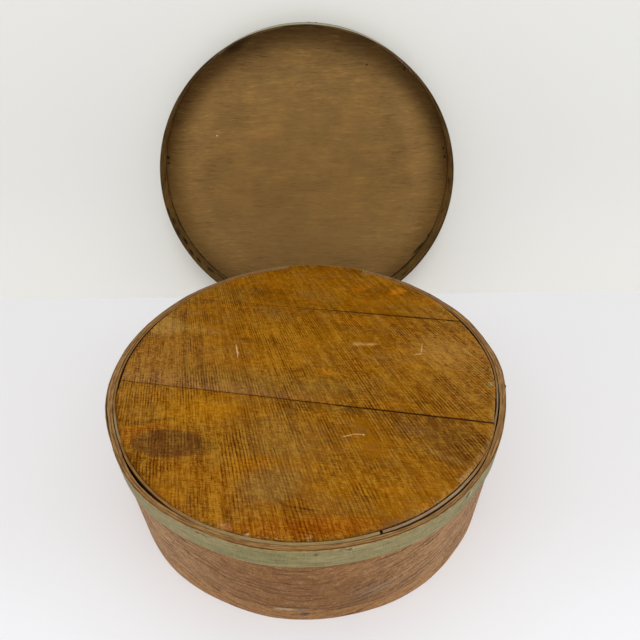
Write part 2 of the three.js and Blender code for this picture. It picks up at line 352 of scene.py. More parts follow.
def lay_patches(tree, where, colour, patches, depth):
    """Each patch: its middle, half length, half width, turn, colour, strength, softness, raggedness."""
    for x, y, half_length, half_width, turn, tint, amount, softness, ragged in patches:
        mask = use_group(tree, patch, where, (x, y, depth), math.radians(turn),
                         (half_length, half_width, 5), softness, ragged)["Mask"]
        colour = layer(tree, times(tree, mask, amount), colour, chart(*tint))
    return colour


def mixed_shade(tree, *parts):
    """Adds up noises about their middle: each part is a value from 0 to 1 and its weight."""
    shade = 0.5
    for value, weight in parts:
        shade = calc(tree, "MULTIPLY_ADD", calc(tree, "SUBTRACT", value, 0.5), weight, shade)
    return shade


print("groups:", [group.name for group in bpy.data.node_groups])

# %% [markdown]
# Straight stripes would be the easy way to draw saw marks, but here they fan out from a
# point far behind the box, because the log was fed past a big round blade. They cross all
# three boards, so they are one group. It turns a place on the boards into how far it lies
# across and along the fan, and draws even grooves, uneven lines, short dashes and broad
# streaks there.

# %% Group: saw marks
saw_centre = (-370, 1010)
saw_reach = math.hypot(*saw_centre)
saw_spacing = 2.65
saw, saw_in, saw_out = new_group("saw marks", [("Vector", "Vector", (0, 0, 0))], [
    (label, "Float") for label in ("Groove", "Lines", "Dashes", "Streaks")])
where = put(saw, "SeparateXYZ", saw_in["Vector"]).outputs
from_x = calc(saw, "SUBTRACT", where["X"], saw_centre[0])
from_y = calc(saw, "SUBTRACT", where["Y"], saw_centre[1])
across = times(saw, calc(saw, "ARCTAN2", from_y, from_x), saw_reach)
along = calc(saw, "SQRT", calc(saw, "ADD", calc(saw, "POWER", from_x, 2), calc(saw, "POWER", from_y, 2)))
fan = put(saw, "CombineXYZ", across, along, 0).outputs[0]
wander = times(saw, cloud(saw, fan, (12, 30, 1), 3, 0.6), 6)
wave = calc(saw, "SINE", calc(saw, "MULTIPLY_ADD", across, 2 * math.pi / saw_spacing, wander))
strength = level(saw, cloud(saw, fan, (30, 50, 1), 5, 0.66), 0.42, 0.62)
feed(saw, saw_out["Groove"], times(saw, level(saw, wave, -0.1, 1.0), strength))
feed(saw, saw_out["Lines"], level(saw, cloud(saw, fan, (1.3, 26, 1), 4, 0.75), 0.3, 0.62))
feed(saw, saw_out["Dashes"], crisp(saw, fan, (1.2, 9, 1), 4, 0.8))
feed(saw, saw_out["Streaks"], crisp(saw, fan, (6, 110, 1), 4, 0.65, 0.35))
print("saw marks", saw_spacing, "mm apart")

# %% [markdown]
# The boards are sawn pine, gone golden brown with age and handling. One noise between two
# browns would look like stone. Wood has broad bands along its grain, so these come first,
# then orange, golden and dull clouds, and then each board's own stains as a list of
# patches. All three boards share this way of mixing tones.

# %% Tones of the boards
board_turn = math.radians(-9.75)
board_top = 132


def board_tones(tree, where, grain, tone, second_tone, patches):
    bands = cloud(tree, grain, (160, 16, 16), 3, 0.6, 0.4)
    colour = layer(tree, level(tree, bands, 0.35, 0.65), chart(*tone), chart(*second_tone))
    clouds = cloud(tree, grain, (46, 22, 22), 5, 0.65)
    colour = layer(tree, level(tree, clouds, 0.5, 0.64, 0, 0.55), colour, chart(158, 94, 2))
    dabs = cloud(tree, where, (9, 7, 7), 5, 0.7)
    colour = layer(tree, level(tree, dabs, 0.58, 0.7, 0, 0.6), colour, chart(166, 89, 2))
    dull = cloud(tree, placed(tree, grain, shift=(400, 0, 0)), (34, 20, 20), 5, 0.7)
    colour = layer(tree, level(tree, dull, 0.5, 0.62, 0, 0.55), colour, chart(122, 80, 28))
    return lay_patches(tree, where, colour, patches, board_top)


print("the boards are turned", round(math.degrees(board_turn), 2), "degrees")

# %% [markdown]
# The saw marks, the wood's own fibres, a mottle and fine specks together make one shade,
# from 0 to 1, which darkens and lightens the tones and also gives the bump. It is crisper
# towards the two ends of the boards and at the front left. In a knot it is calmer.

# %% Shade of the boards
def board_shade(tree, where, grain, specks, contrast):
    groove, lines, dashes, streaks = use_group(tree, saw, where)
    fibre = crisp(tree, grain, (9, 1.0, 1.0), 3, 0.75)
    mottle = cloud(tree, where, (4.5, 4.5, 4.5), 4, 0.75)
    shade = mixed_shade(tree, (lines, 0.3), (dashes, 0.34), (fibre, 0.34), (streaks, 0.24), (mottle, 0.7),
                        (specks, 0.8), (calc(tree, "SUBTRACT", 0.8, groove), 0.4))
    side, back = put(tree, "SeparateXYZ", where).outputs[:2]
    uneven = cloud(tree, where, (60, 60, 60), 3, 0.6)
    uneven = level(tree, uneven, 0.35, 0.65, 0.75 * contrast, 1.2 * contrast)
    far_side = calc(tree, "ABSOLUTE", side)
    uneven = calc(tree, "ADD", uneven, level(tree, far_side, 100, 150, 0, 0.35 * contrast))
    crisp_left = level(tree, side, -100, 120, 0.2, -0.3)
    uneven = calc(tree, "MULTIPLY_ADD", level(tree, back, -60, -90), crisp_left, uneven)
    return stronger(tree, shade, uneven)


def lay_knots(tree, where, colour, shade, knots):
    """Each knot: its middle, half length, half width, turn and number of rings."""
    for x, y, half_length, half_width, turn, rings in knots:
        mask, ring = use_group(tree, knot, where, (x, y, board_top), math.radians(turn),
                               (half_length, half_width, 5), rings)
        core = layer(tree, level(tree, ring, -0.2, 0.9), chart(98, 59, 21), chart(86, 49, 17))
        colour = layer(tree, times(tree, mask, 0.9), colour, core)
        shade = stronger(tree, shade, calc(tree, "MULTIPLY_ADD", mask, -0.45, 1))
    return colour, shade


print("saw marks, fibres, mottle and specks are mixed")

# %% [markdown]
# Dirt and wear follow the edges, and two things tell where those are. Each board keeps an
# attribute, near_edge, that rises to 1 at its round edge. And each joint is a straight
# line, so a dot product tells how far a place lies from it. The sides of the boards and
# the worn lip above them are painted almost black, a painted shade for the dark gaps
# beside the boards. The left and front edges are grimy, the right and back edges are
# rubbed pale, and both ends have torn fibres.

# %% Dirt, wear and painted shade of the boards
def shade_board_sides(tree, where, colour, edge):
    """Painted shade: the worn lip of the edge and the side below it are darkened to near black."""
    side, back, up = put(tree, "SeparateXYZ", where).outputs
    far_side = calc(tree, "ABSOLUTE", side)
    outline_from = level(tree, far_side, 110, 150, board_top - 2.6, board_top - 1.3)
    shade_from = level(tree, edge, 0.9, 0.98, board_top - 0.6, outline_from)
    depth = calc(tree, "SUBTRACT", shade_from, up)
    return layer(tree, level(tree, depth, 0, 0.4), colour, chart(26, 14, 6))


def board_edges(tree, where, colour, edge, ragged):
    side, back = put(tree, "SeparateXYZ", where).outputs[:2]
    rim = calc(tree, "ADD", edge, times(tree, calc(tree, "SUBTRACT", ragged, 0.5), 1.6))
    grimy = calc(tree, "MAXIMUM", level(tree, side, -60, -150), level(tree, back, -165, -182))
    grime = times(tree, level(tree, rim, 0.75, 1.1, 0, 0.62), grimy)
    colour = layer(tree, grime, colour, chart(70, 38, 6))
    scuff = times(tree, level(tree, side, 20, 120), level(tree, back, 90, 40))
    scuff = times(tree, level(tree, rim, 0.7, 1.15, 0, 0.5), scuff)
    colour = layer(tree, scuff, colour, chart(184, 140, 84))
    flakes = level(tree, cloud(tree, where, (3.2, 1.6, 3), 4, 0.75), 0.53, 0.64, 0, 0.7)
    torn = times(tree, level(tree, rim, 0.6, 1.0), level(tree, back, -140, -168))
    torn = times(tree, torn, level(tree, side, 40, -10))
    colour = layer(tree, times(tree, torn, flakes), colour, chart(192, 128, 72))
    far_side = calc(tree, "ABSOLUTE", side)
    rubbed = times(tree, level(tree, far_side, 105, 165, 0, 0.8), level(tree, back, -80, -40))
    rubbed = times(tree, rubbed, level(tree, back, 112, 92))
    colour = layer(tree, times(tree, rubbed, flakes), colour, chart(192, 146, 90))
    back_edge = times(tree, level(tree, edge, 0.84, 0.96, 0, 0.65), level(tree, back, 110, 150))
    return layer(tree, back_edge, colour, chart(192, 146, 80))


def joint_dirt(tree, where, colour, cuts, ragged):
    """Dark lines beside the cuts. They fade towards the left, most at the back joint."""
    side = put(tree, "SeparateXYZ", where).outputs["X"]
    for offset, turn in cuts:
        across = (-math.sin(turn), math.cos(turn), 0)
        behind_axis = put(tree, "VectorMath", where, across, operation="DOT_PRODUCT").outputs["Value"]
        fading = level(tree, side, -130, 90, 0.5 if offset < 0 else 0.15, 0.85)
        near_joint = times(tree, level(tree, away_from(tree, behind_axis, offset), 1.1, 0.2), fading)
        near_joint = times(tree, near_joint, level(tree, ragged, 0.36, 0.56, 0.45, 1))
        colour = layer(tree, near_joint, colour, chart(54, 24, 4))
    return colour


print("dirt and wear follow the edges and the joints")

# %% [markdown]
# The whole finish of a board puts these in order: tones, knots, shade, and then the
# painted shade on the sides, the worn edges and the dirt in the joints. The number moves
# the grain, so that no two boards are alike.

# %% Finish of a board
def board_finish(name, tone, second_tone, patches, number, contrast, cuts, knots=()):
    material, tree, surface = new_material(name, 0.62, 0.02)
    where = box_millimetres(tree)
    grain = placed(tree, where, shift=(57 * number, 31 * number, 0), turn=(0, 0, -board_turn))
    colour = board_tones(tree, where, grain, tone, second_tone, patches)
    specks = cloud(tree, where, (1.2, 1.2, 1.2), 3, 0.75)
    shade = board_shade(tree, where, grain, specks, contrast)
    colour, shade = lay_knots(tree, where, colour, shade, knots)
    colour = use_group(tree, shading, colour, shade, (0.165, 0.099, 0.012, 1))[0]
    edge = put(tree, "Attribute", attribute_name="near_edge").outputs["Fac"]
    ragged = cloud(tree, where, (5, 5, 5), 5, 0.75)
    # Painted shade: the sides and worn lip of the board are darkened almost to black.
    colour = shade_board_sides(tree, where, colour, edge)
    colour = board_edges(tree, where, colour, edge, ragged)
    colour = joint_dirt(tree, where, colour, cuts, ragged)
    feed(tree, surface.inputs["Roughness"], level(tree, specks, 0.3, 0.7, 0.5, 0.72))
    coat(tree, surface, colour, shade, 0.0004)
    return material


print("the boards' top is at", board_top, "mm")

# %% [markdown]
# True circles would be simpler, but after so many years nothing is quite round, and the
# eye sees it in the gaps. The boards have shrunk and moved towards the front, the hoop
# and the wall have sprung outwards in some places, and at the back they have sunk. Each
# list below gives a piece's turn round the box, in degrees, with its radius or its
# movement there in millimetres, as measured in the photograph.

# %% How far the pieces have moved
board_edge_marks = [
    (-180, 189.2), (-175, 188.7), (-170, 189.3), (-166, 190.5), (-160, 190.2), (-154, 190.6), (-147, 191.3),
    (-137, 191.9), (-122, 192.3), (-110, 192.5), (-92, 192.5), (-80, 192.6), (-70, 192.6), (-64, 193.1),
    (-57, 193.1), (-50, 193.2), (-42, 193.0), (-36, 193.2), (-31, 192.9), (-27.5, 191.3), (-24, 189.6),
    (-18, 189.0), (-12, 189.6), (-2, 190.2), (3, 189.6), (8, 188.8), (14, 188), (20, 187.7), (40, 187.7),
    (60, 188.4), (110, 188.6), (140, 188.6), (150, 188), (160, 188), (170, 188.8)]
hoop_out_marks = [
    (-180, 0.8), (-172, 1.3), (-164, 1.0), (-158, 0.3), (-150, -0.6), (-144, 0.4), (-136, 1.3), (-130, 1.4),
    (-122, 0.5), (-114, -0.3), (-108, -0.2), (-100, 0.3), (-92, 0), (-80, 0), (-74, 0.5), (-66, 1.4),
    (-57, 1.9), (-50, 1.5), (-44, 0.9), (-36, 1.0), (-30, 0.2), (-24, -0.5), (-16, -0.4), (-10, 0.4),
    (-4, 1.4), (2, 1.2), (8, 0), (16, -0.2), (20, 0.3), (26, 0), (60, 0), (164, 0), (172, 0.8), (176, 0.4)]
wall_top_marks = [
    (-180, 0.3), (-164, -0.2), (-148, -0.4), (-145, 0.5), (-140, 1.7), (-134, 2.6), (-128, 2.3), (-122, 1.5),
    (-107, 1.2), (-92, 1.3), (-82, 1.6), (-73, 2.1), (-67, 3.2), (-62, 3.7), (-52, 3.5), (-42, 2.7),
    (-36, 1.1), (-30, -0.1), (-25, -0.5), (-12, -0.7), (-7, 0), (-2, 0.6), (8, 0.1), (172, 0.1)]
liner_out_marks = [
    (-180, 0.2), (-172, 0.2), (-156, -0.5), (-148, -0.5), (-142, 0.5), (-134, 0.7), (-122, 1.1), (-112, 1.3),
    (-92, 1.4), (-82, 1.5), (-73, 1.8), (-67, 2.4), (-62, 2.6), (-52, 2.7), (-48, 2.4), (-42, 2.3),
    (-36, 1.1), (-30, -0.3), (-25, -1.3), (-16, -1.4), (-12, -0.9), (-7, -0.1), (-2, 0.4), (8, 0), (172, 0)]
sunk_marks = [
    (-180, 0.3), (0, 0.3), (20, 0.3), (26, 0.7), (33, 2.1), (44, 2.4), (66, 2.3), (100, 1.9), (130, 1.9),
    (140, 1.1), (148, 1.5), (156, 1.0), (164, 0.3)]


def read_round(turn, marks):
    """Reads a list at any turn, evenly between its marks and on round the back."""
    turn = (turn - marks[0][0]) % 360 + marks[0][0]
    for (start, first), (end, last) in zip(marks, marks[1:] + [(marks[0][0] + 360, marks[0][1])]):
        if turn <= end:
            return first + (last - first) * (turn - start) / (end - start)


print("the hoop at the front right stands", read_round(-57, hoop_out_marks), "mm out")

# %% [markdown]
# The three boards share a round outline, slightly ragged, and the relief that the saw
# left on their tops. A joint is a pair of cuts that open a little to the right, as the
# boards have shrunk. Nicks are small dents, each with its place, radius and depth. The
# blanks are cut 3 mm too tall, the spare, above and below. The attribute near_edge, which
# the finish reads, fades out within edge_reach of the round edge.

# %% Outline, joints and relief of the boards
board_radius, board_bottom = 190.9, 120
liner_outer, liner_inner = 193.7, 191.2
lip_radius, lip_bottom, lip_from, lip_to = 195.9, 130.3, 68, 98
front_joint = {"front": (-55.85, math.radians(-10)), "back": (-55.15, math.radians(-9.8))}
back_joint = {"front": (92.6, math.radians(-9.7)), "back": (93.2, math.radians(-9.5))}
nicks = [(187, -88, 4, 2.2), (-40.8, 186, 1.3, 2), (18, -103, 1.6, 0.4), (-10, 190.5, 3, 0.6),
         (66, 27, 3, 0.2)]
spare = 3
edge_reach = 14


def joint_distance(x, y, cut):
    """How far a point lies behind a cut, which is an offset from the axis and a turn."""
    offset, turn = cut
    return y * math.cos(turn) - x * math.sin(turn) - offset


def edge_radius(turn, reach):
    """The boards' ragged outline, or the lip's, which reaches further out."""
    fine = noise.noise(Vector((turn * 80, 3, 1)))
    if reach > board_radius:
        return reach - 0.4 + 0.4 * fine
    degrees = math.degrees(turn)
    edge = read_round(degrees, board_edge_marks)
    gap = max(0, liner_inner + read_round(degrees, liner_out_marks) - edge)
    return edge + (0.12 + 0.4 * min(1.5, gap)) * fine


def saw_relief(x, y):
    from_x, from_y = x - saw_centre[0], y - saw_centre[1]
    across = math.atan2(from_y, from_x) * saw_reach
    along = math.hypot(from_x, from_y)
    strength = 0.5 + 0.5 * noise.noise(Vector((across / 45, along / 60, 3)))
    groove = 0.5 + 0.5 * math.sin(2 * math.pi * across / saw_spacing)
    broad = noise.noise(Vector((across / 8, along / 150, 7)))
    depth = -0.14 * strength * groove + 0.1 * broad - 0.15
    for nick_x, nick_y, radius, deep in nicks:
        near = math.hypot(x - nick_x, y - nick_y) / radius
        depth -= deep * max(0, 1 - near ** 2)
    return depth


print("the saw's relief in the middle:", round(saw_relief(0, 0), 2), "mm")

# %% [markdown]
# A board could be built up corner by corner, but it is easier to make it as the sawyer
# did, by cutting a slab. These helpers make the blanks, and cut or join two of them with
# a Boolean modifier, which leaves a closed piece with crisp edges. The modifier's result
# is taken at once, and the blanks are used up.

# %% Blanks and cuts
def settled(piece, *used_up):
    """The piece's mesh with its modifiers worked in, as a bmesh. Its objects are removed."""
    mesh = bpy.data.meshes.new_from_object(piece.evaluated_get(bpy.context.evaluated_depsgraph_get()))
    shape = bmesh.new()
    shape.from_mesh(mesh)
    for used in (piece, *used_up):
        bpy.data.objects.remove(used)
    bpy.data.meshes.remove(mesh)
    return shape


def blank(name, shape):
    mesh = bpy.data.meshes.new(name)
    bmesh.ops.recalc_face_normals(shape, faces=shape.faces[:])
    shape.to_mesh(mesh)
    shape.free()
    piece = bpy.data.objects.new(name, mesh)
    bpy.context.scene.collection.objects.link(piece)
    return piece


def joined_by(first, second, operation):
    first, second = blank("first", first), blank("second", second)
    change = first.modifiers.new(operation, "BOOLEAN")
    change.operation, change.solver, change.object = operation, "MANIFOLD", second
    return settled(first, second)


def new_corners(result):
    return [item for item in result["geom"] if isinstance(item, bmesh.types.BMVert)]


def round_blank(reach, bottom, top):
    shape = bmesh.new()
    bmesh.ops.create_circle(shape, cap_ends=True, segments=960, radius=reach)
    for corner in shape.verts:
        turn = math.atan2(corner.co.y, corner.co.x)
        corner.co *= edge_radius(turn, reach) / reach
        corner.co.z = bottom
    lifted = bmesh.ops.extrude_face_region(shape, geom=shape.faces[:])
    bmesh.ops.translate(shape, verts=new_corners(lifted), vec=(0, 0, top - bottom))
    return shape


def cut_off(shape, point, outwards):
    """Planes away the side that outwards points to, and closes the cut."""
    everything = shape.verts[:] + shape.edges[:] + shape.faces[:]
    cut = bmesh.ops.bisect_plane(shape, geom=everything, plane_co=point, plane_no=outwards, clear_outer=True)
    edges = [item for item in cut["geom_cut"] if isinstance(item, bmesh.types.BMEdge)]
    bmesh.ops.edgeloop_fill(shape, edges=edges)


print("a blank reaches from", board_bottom, "to", board_top + spare, "mm")

# %% [markdown]
# First comes a slab with saw marks across it: a fine grid bent into the saw's fan, so
# that its rows of corners follow the marks and few corners show much relief. The relief
# and the worn edges are pressed into it. Then the slab is cut to the outline of one
# board. The distance to the edge is kept in an attribute, for the dirt, the wear and the
# painted shade there.

# %% Saw one board
def sawn_slab(front_limit, back_limit, worn_at):
    """A slab under the saw's fan of marks, with its top finely gridded and the rest plain."""
    shape = bmesh.new()
    bmesh.ops.create_grid(shape, x_segments=600, y_segments=56, size=0.5)
    reach_x, reach_y = 220, 200
    turn_from = math.atan2(-reach_y - saw_centre[1], -reach_x - saw_centre[0])
    turn_to = math.atan2(reach_y - saw_centre[1], reach_x - saw_centre[0])
    start, behind = Vector(saw_centre), Vector((-math.sin(board_turn), math.cos(board_turn)))
    for corner in shape.verts:
        turn = turn_from + (corner.co.x + 0.5) * (turn_to - turn_from)
        slope = Vector((math.cos(turn), math.sin(turn)))
        target = front_limit + (corner.co.y + 0.5) * (back_limit - front_limit)
        x, y = start + slope * (target - start.dot(behind)) / slope.dot(behind)
        corner.co = (x, y, board_top + saw_relief(x, y) - worn_at(x, y))
    rim = [edge for edge in shape.edges if edge.is_boundary]
    for corner in new_corners(bmesh.ops.extrude_edge_only(shape, edges=rim)):
        corner.co.z = board_bottom - spare
    bmesh.ops.edgeloop_fill(shape, edges=[edge for edge in shape.edges if edge.is_boundary])
    return shape


def board(name, nodes, front_limit, back_limit, cuts, material):
    def inside(x, y):
        turn = math.atan2(y, x)
        lip = name == "back_board" and lip_from < math.degrees(turn) < lip_to
        return edge_radius(turn, lip_radius if lip else board_radius) - math.hypot(x, y)

    def worn_at(x, y):
        chance = 0.5 + 0.5 * noise.noise(Vector((x / 6, y / 6, 3)))
        deep = 1.1 if y < -90 else 0.7
        worn = deep * max(0, 1 - inside(x, y) / (0.6 + 2.4 * chance)) ** 2
        for cut, _ in cuts:
            away = abs(joint_distance(x, y, cut))
            worn += 0.4 * max(0, 1 - away / (0.4 + 1.4 * chance ** 2)) ** 2
        return worn

    outline = round_blank(board_radius, board_bottom, board_top + spare)
    if name == "back_board":
        lip = round_blank(lip_radius, lip_bottom, board_top + spare)
        for turn, side in ((math.radians(lip_from), 1), (math.radians(lip_to), -1)):
            cut_off(lip, Vector((math.cos(turn), math.sin(turn), 0)) * lip_radius,
                    Vector((math.sin(turn), -math.cos(turn), 0)) * side)
        outline = joined_by(outline, lip, "UNION")
    for (offset, turn), keep_behind in cuts:
        behind = Vector((-math.sin(turn), math.cos(turn), 0))
        cut_off(outline, behind * offset, -behind if keep_behind else behind)
    shape = joined_by(sawn_slab(front_limit, back_limit, worn_at), outline, "INTERSECT")
    near_edge = shape.verts.layers.float.new("near_edge")
    for corner in shape.verts:
        corner[near_edge] = max(0, 1 - inside(corner.co.x, corner.co.y) / edge_reach)
    finish_piece(name, shape, box_place, material, "box", nodes)


print("the lip reaches out to", lip_radius, "mm")

# %% [markdown]
# The front board has the one big knot, at the left, with a dark streak above it. The list
# gives the rest: dull and golden places, rubbed wood along the right edge, small dark
# dents and a pale curl of lifted fibre. Each entry is in millimetres and degrees.

# %% Make the front board
front_patches = [
    (-150, -92, 26, 12, 12, (146, 74, 6), 0.6, 0.6, 0.25),
    (-146, -78, 31, 1.8, 10, (70, 38, 10), 0.6, 0.5, 0.4),
    (-122, -103, 36, 18, -4, (104, 58, 10), 0.5, 0.4, 0.15),
    (-84, -108, 10, 7, 20, (84, 54, 14), 0.5, 0.6, 0.3),
    (-100, -65, 38, 14, -9, (168, 108, 6), 0.55, 0.6, 0.35),
    (-60, -150, 75, 26, -20, (134, 76, 6), 0.45, 0.6, 0.2),
    (0, -183, 64, 7, 0, (130, 60, 0), 0.65, 0.6, 0.45),
    (-44.5, -187.6, 3, 1.2, 16, (208, 176, 134), 0.8, 0.4, 0.2),
    (-44, -185.4, 2.6, 0.7, 16, (46, 28, 14), 0.7, 0.4, 0.2),
    (-22, -160, 7, 1.8, -34, (52, 34, 10), 0.6, 0.6, 0.45),
    (-2, -167, 12, 1.0, -10, (52, 34, 10), 0.5, 0.6, 0.35),
    (20, -64, 38, 6, -6, (82, 54, 14), 0.45, 0.6, 0.3),
    (18, -103, 3.4, 1.6, 0, (60, 44, 24), 0.55, 0.6, 0.4),
    (37, -97.6, 5, 0.45, 14, (200, 168, 122), 0.8, 0.4, 0.03),
    (46, -96.2, 4.5, 0.4, -4, (200, 168, 122), 0.8, 0.4, 0.03),
    (51, -96.8, 0.9, 0.9, 0, (206, 176, 130), 0.85, 0.4, 0.03),
    (98, -92, 15, 5, -14, (170, 124, 76), 0.5, 0.6, 0.5),
    (137, -137, 14, 3, 38, (196, 152, 88), 0.6, 0.5, 0.55),
    (120, -122, 18, 3, -30, (180, 134, 70), 0.45, 0.6, 0.5),
    (120, -110, 3, 1.4, 0, (60, 30, 12), 0.6, 0.6, 0.3),
    (128, -102, 62, 26, -30, (98, 58, 14), 0.85, 0.6, 0.25),
    (-28, -146, 26, 16, 10, (118, 88, 46), 0.6, 0.6, 0.35),
    (-20, -100, 44, 24, -20, (120, 84, 34), 0.5, 0.7, 0.3),
    (-60, -181, 6, 2, -18, (170, 120, 78), 0.5, 0.4, 0.7),
    (3.5, -190.5, 1.4, 2.2, 0, (178, 132, 92), 0.7, 0.3, 0.4),
]
front_knots = [(-121, -102.5, 32, 15, -6, 5)]
front_wood = board_finish("front_board_wood", (138, 85, 4), (120, 71, 4), front_patches, 1, 1.1,
                           [front_joint["front"]], front_knots)
board("front_board", ["base_board_front"], -200, -50, [(front_joint["front"], False)], front_wood)

# %% [markdown]
# The middle board is the widest. Its left end is duller, with two broad dark saw streaks
# and a pale worn place at the edge. There are a few short pale scratches, and a spot of
# the hoop's green paint is left near its right end.

# %% Make the middle board
middle_patches = [
    (-162, 64, 22, 15, -14, (146, 106, 48), 0.8, 0.4, 0.45),
    (-122, 56, 28, 7, -14, (152, 106, 40), 0.6, 0.5, 0.4),
    (-130, 4, 62, 30, -9, (126, 76, 24), 0.65, 0.6, 0.15),
    (-104, -34, 96, 14, -10, (134, 92, 56), 0.6, 0.7, 0.3),
    (-131, 22, 60, 2.4, 102, (88, 54, 16), 0.5, 0.7, 0.4),
    (-112, 8, 56, 2.4, 102, (88, 54, 16), 0.5, 0.7, 0.4),
    (-40, -28, 90, 14, -10, (118, 82, 28), 0.6, 0.6, 0.2),
    (-50, 2, 60, 10, -8, (150, 94, 6), 0.4, 0.7, 0.3),
    (0, 45, 70, 16, -9, (148, 94, 2), 0.6, 0.6, 0.2),
    (-76, 20, 0.8, 9, 12, (206, 164, 120), 0.85, 0.4, 0.06),
    (-74, 12, 0.6, 5, 2, (206, 164, 120), 0.7, 0.4, 0.06),
    (56, 27, 8, 3, -4, (190, 146, 92), 0.5, 0.6, 0.5),
    (70, 26, 6, 2, 4, (196, 150, 100), 0.5, 0.6, 0.5),
    (123, 17, 0.8, 7, -14, (206, 164, 112), 0.8, 0.4, 0.06),
    (118, 9, 5, 1, 10, (206, 164, 112), 0.7, 0.5, 0.1),
    (146, 12, 34, 22, -16, (150, 104, 46), 0.5, 0.7, 0.4),
    (150, -50, 50, 22, -16, (118, 74, 14), 0.55, 0.7, 0.25),
    (181, -37, 2.4, 3.2, 0, (128, 130, 88), 0.9, 0.3, 0.15),
    (14, 22, 1.2, 1.6, 0, (60, 40, 20), 0.8, 0.4, 0.2),
]
middle_wood = board_finish("middle_board_wood", (130, 79, 3), (113, 66, 6), middle_patches, 2, 1.1,
                            [front_joint["back"], back_joint["front"]])
board("middle_board", ["base_board_middle"], -60, 97,
      [(front_joint["back"], True), (back_joint["front"], False)], middle_wood)

# %% [markdown]
# The back board is smoother than the others. It has an orange stain towards the right. At
# the back it was sawn too long, so a lip of it reaches out over the wall.

# %% Make the back board
back_patches = [
    (112, 127, 10, 6, 20, (178, 98, 2), 0.6, 0.5, 0.6),
    (106, 121, 6, 2, 0, (180, 98, 2), 0.5, 0.5, 0.5),
    (66, 133, 8, 5, 0, (166, 92, 2), 0.6, 0.6, 0.6),
    (-110, 120, 46, 24, -9, (132, 88, 20), 0.5, 0.6, 0.2),
    (-10, 150, 60, 12, -9, (144, 88, 2), 0.5, 0.6, 0.2),
    (130, 85, 50, 12, -9, (120, 78, 12), 0.5, 0.6, 0.2),
    (-40.8, 186, 1, 2.4, 0, (30, 18, 10), 0.9, 0.3, 0.1),
]
back_wood = board_finish("back_board_wood", (133, 81, 0), (116, 68, 0), back_patches, 3, 0.9,
                         [back_joint["back"]])
board("back_board", ["base_board_back"], 89, 201, [(back_joint["back"], True)], back_wood)

# %% [markdown]
# The wall, hoop, liner and rim are thin strips of wood, soaked and bent round. A ring
# spun from an outline would have no ends to lap, so they are made as the real ones were:
# a flat grid gets its thickness, and is then bent to a radius. Where the ends lap, each
# is planed thin, so the strip keeps its thickness all the way round. The grain is kept in
# an attribute as the strip was before bending: along, up and deep. Distances along a
# strip are counted on a ring of 200 mm radius. The box's three strips end at one height,
# strip_top, and hoop_bottom is the hoop's lower edge.

# %% Bend strips
unrolled_radius = 200
strip_top, hoop_bottom = 130, 106


def spread(start, end, step):
    count = max(1, math.ceil(abs(end - start) / step))
    return [start + (end - start) * index / count for index in range(count + 1)]


def along_strip(turn, seam):
    """How far along a strip that starts at a seam a turn lies, in millimetres."""
    return math.radians((turn - seam) % 360 + seam) * unrolled_radius


def strip_patches(tree, flat, colour, seam, deep, patches):
    """Like lay_patches, but each patch says its turn round the box first, and then its height."""
    rows = [(along_strip(turn, seam), *rest) for turn, *rest in patches]
    return lay_patches(tree, flat, colour, rows, deep)


def strip_material(name, roughness, gloss):
    """A material, with the unrolled place on the strip, whole and as along, up and deep."""
    material, tree, surface = new_material(name, roughness, gloss)
    flat = put(tree, "Attribute", attribute_name="unrolled").outputs["Vector"]
    return material, tree, surface, flat, put(tree, "SeparateXYZ", flat).outputs


def bent_strip(turns, heights, inside_at, outside_at, height_at=None, spring_at=None):
    shape = bmesh.new()
    bmesh.ops.create_grid(shape, x_segments=len(turns) - 1, y_segments=len(heights) - 1, size=0.5)
    unrolled = shape.verts.layers.float_vector.new("unrolled")
    for corner in new_corners(bmesh.ops.extrude_face_region(shape, geom=shape.faces[:])):
        corner.co.z = 1
    for corner in shape.verts:
        turn = turns[round((corner.co.x + 0.5) * (len(turns) - 1))]
        height = heights[round((corner.co.y + 0.5) * (len(heights) - 1))]
        radius = outside_at(turn, height) if corner.co.z > 0.5 else inside_at(turn, height)
        if height_at:
            height = height_at(turn, height)
        angle = math.radians(turn)
        corner[unrolled] = (angle * unrolled_radius, height, radius)
        if spring_at:
            radius += spring_at(turn, height, corner.co.z > 0.5)
        corner.co = (radius * math.cos(angle), radius * math.sin(angle), height)
    return shape


print("one degree along a strip is", round(math.radians(unrolled_radius), 2), "mm")

# %% [markdown]
# Three rules shape the strips' faces. The edges are worn, so both faces draw in beside
# them. At a lap the inner end runs under the outer end, and both taper along it. And
# waver gives a smooth unevenness that meets itself again after a full turn.

# %% Worn edges, laps and unevenness
def softened(height, bottom, top, width=0.5, depth=0.3):
    """How far both faces of a strip draw in next to its worn edges."""
    return depth * max(0, 1 - min(height - bottom, top - height) / width)


def lapped(radius, thickness, lap, seam, slip=0.3, tip_share=0.3):
    """The two radii of a strip whose ends lap, and the turn that each stretch starts at."""
    lap_turn, slip_turn = math.degrees(lap / radius), math.degrees(slip / radius)
    tip = thickness * tip_share
    stops = [seam, seam + lap_turn - 0.02, seam + lap_turn, seam + 360 - slip_turn - 0.02,
             seam + 360 - slip_turn, seam + 360 + lap_turn - slip_turn]

    def parting(turn):
        return radius - thickness + tip + (thickness - 2 * tip) * (turn - seam) / lap_turn

    def outside(turn):
        return parting(turn) - slip / 2 if turn < stops[2] - 0.01 else radius

    def inside(turn):
        return parting(turn - 360) + slip / 2 if turn > stops[4] - 0.01 else radius - thickness

    return stops, inside, outside


def lapped_turns(stops, step):
    turns = [stops[0]]
    for start, end in zip(stops, stops[1:]):
        turns += spread(start, end, step)[1:]
    return turns


def waver(turn, height, broad, high, seed):
    """Smooth unevenness from -1 to 1 that closes on itself round the box."""
    angle = math.radians(turn)
    radius = 57.3 / broad
    place = (math.cos(angle) * radius, math.sin(angle) * radius, height / high + seed * 17)
    return noise.noise(Vector(place))


print("60 mm of lap is", round(math.degrees(60 / unrolled_radius), 1), "degrees")

# %% [markdown]
# The lists of movements are turned into a shift of the radius for any place on a strip.
# The hoop moves as a whole. The wall and the liner move most at their top edges.

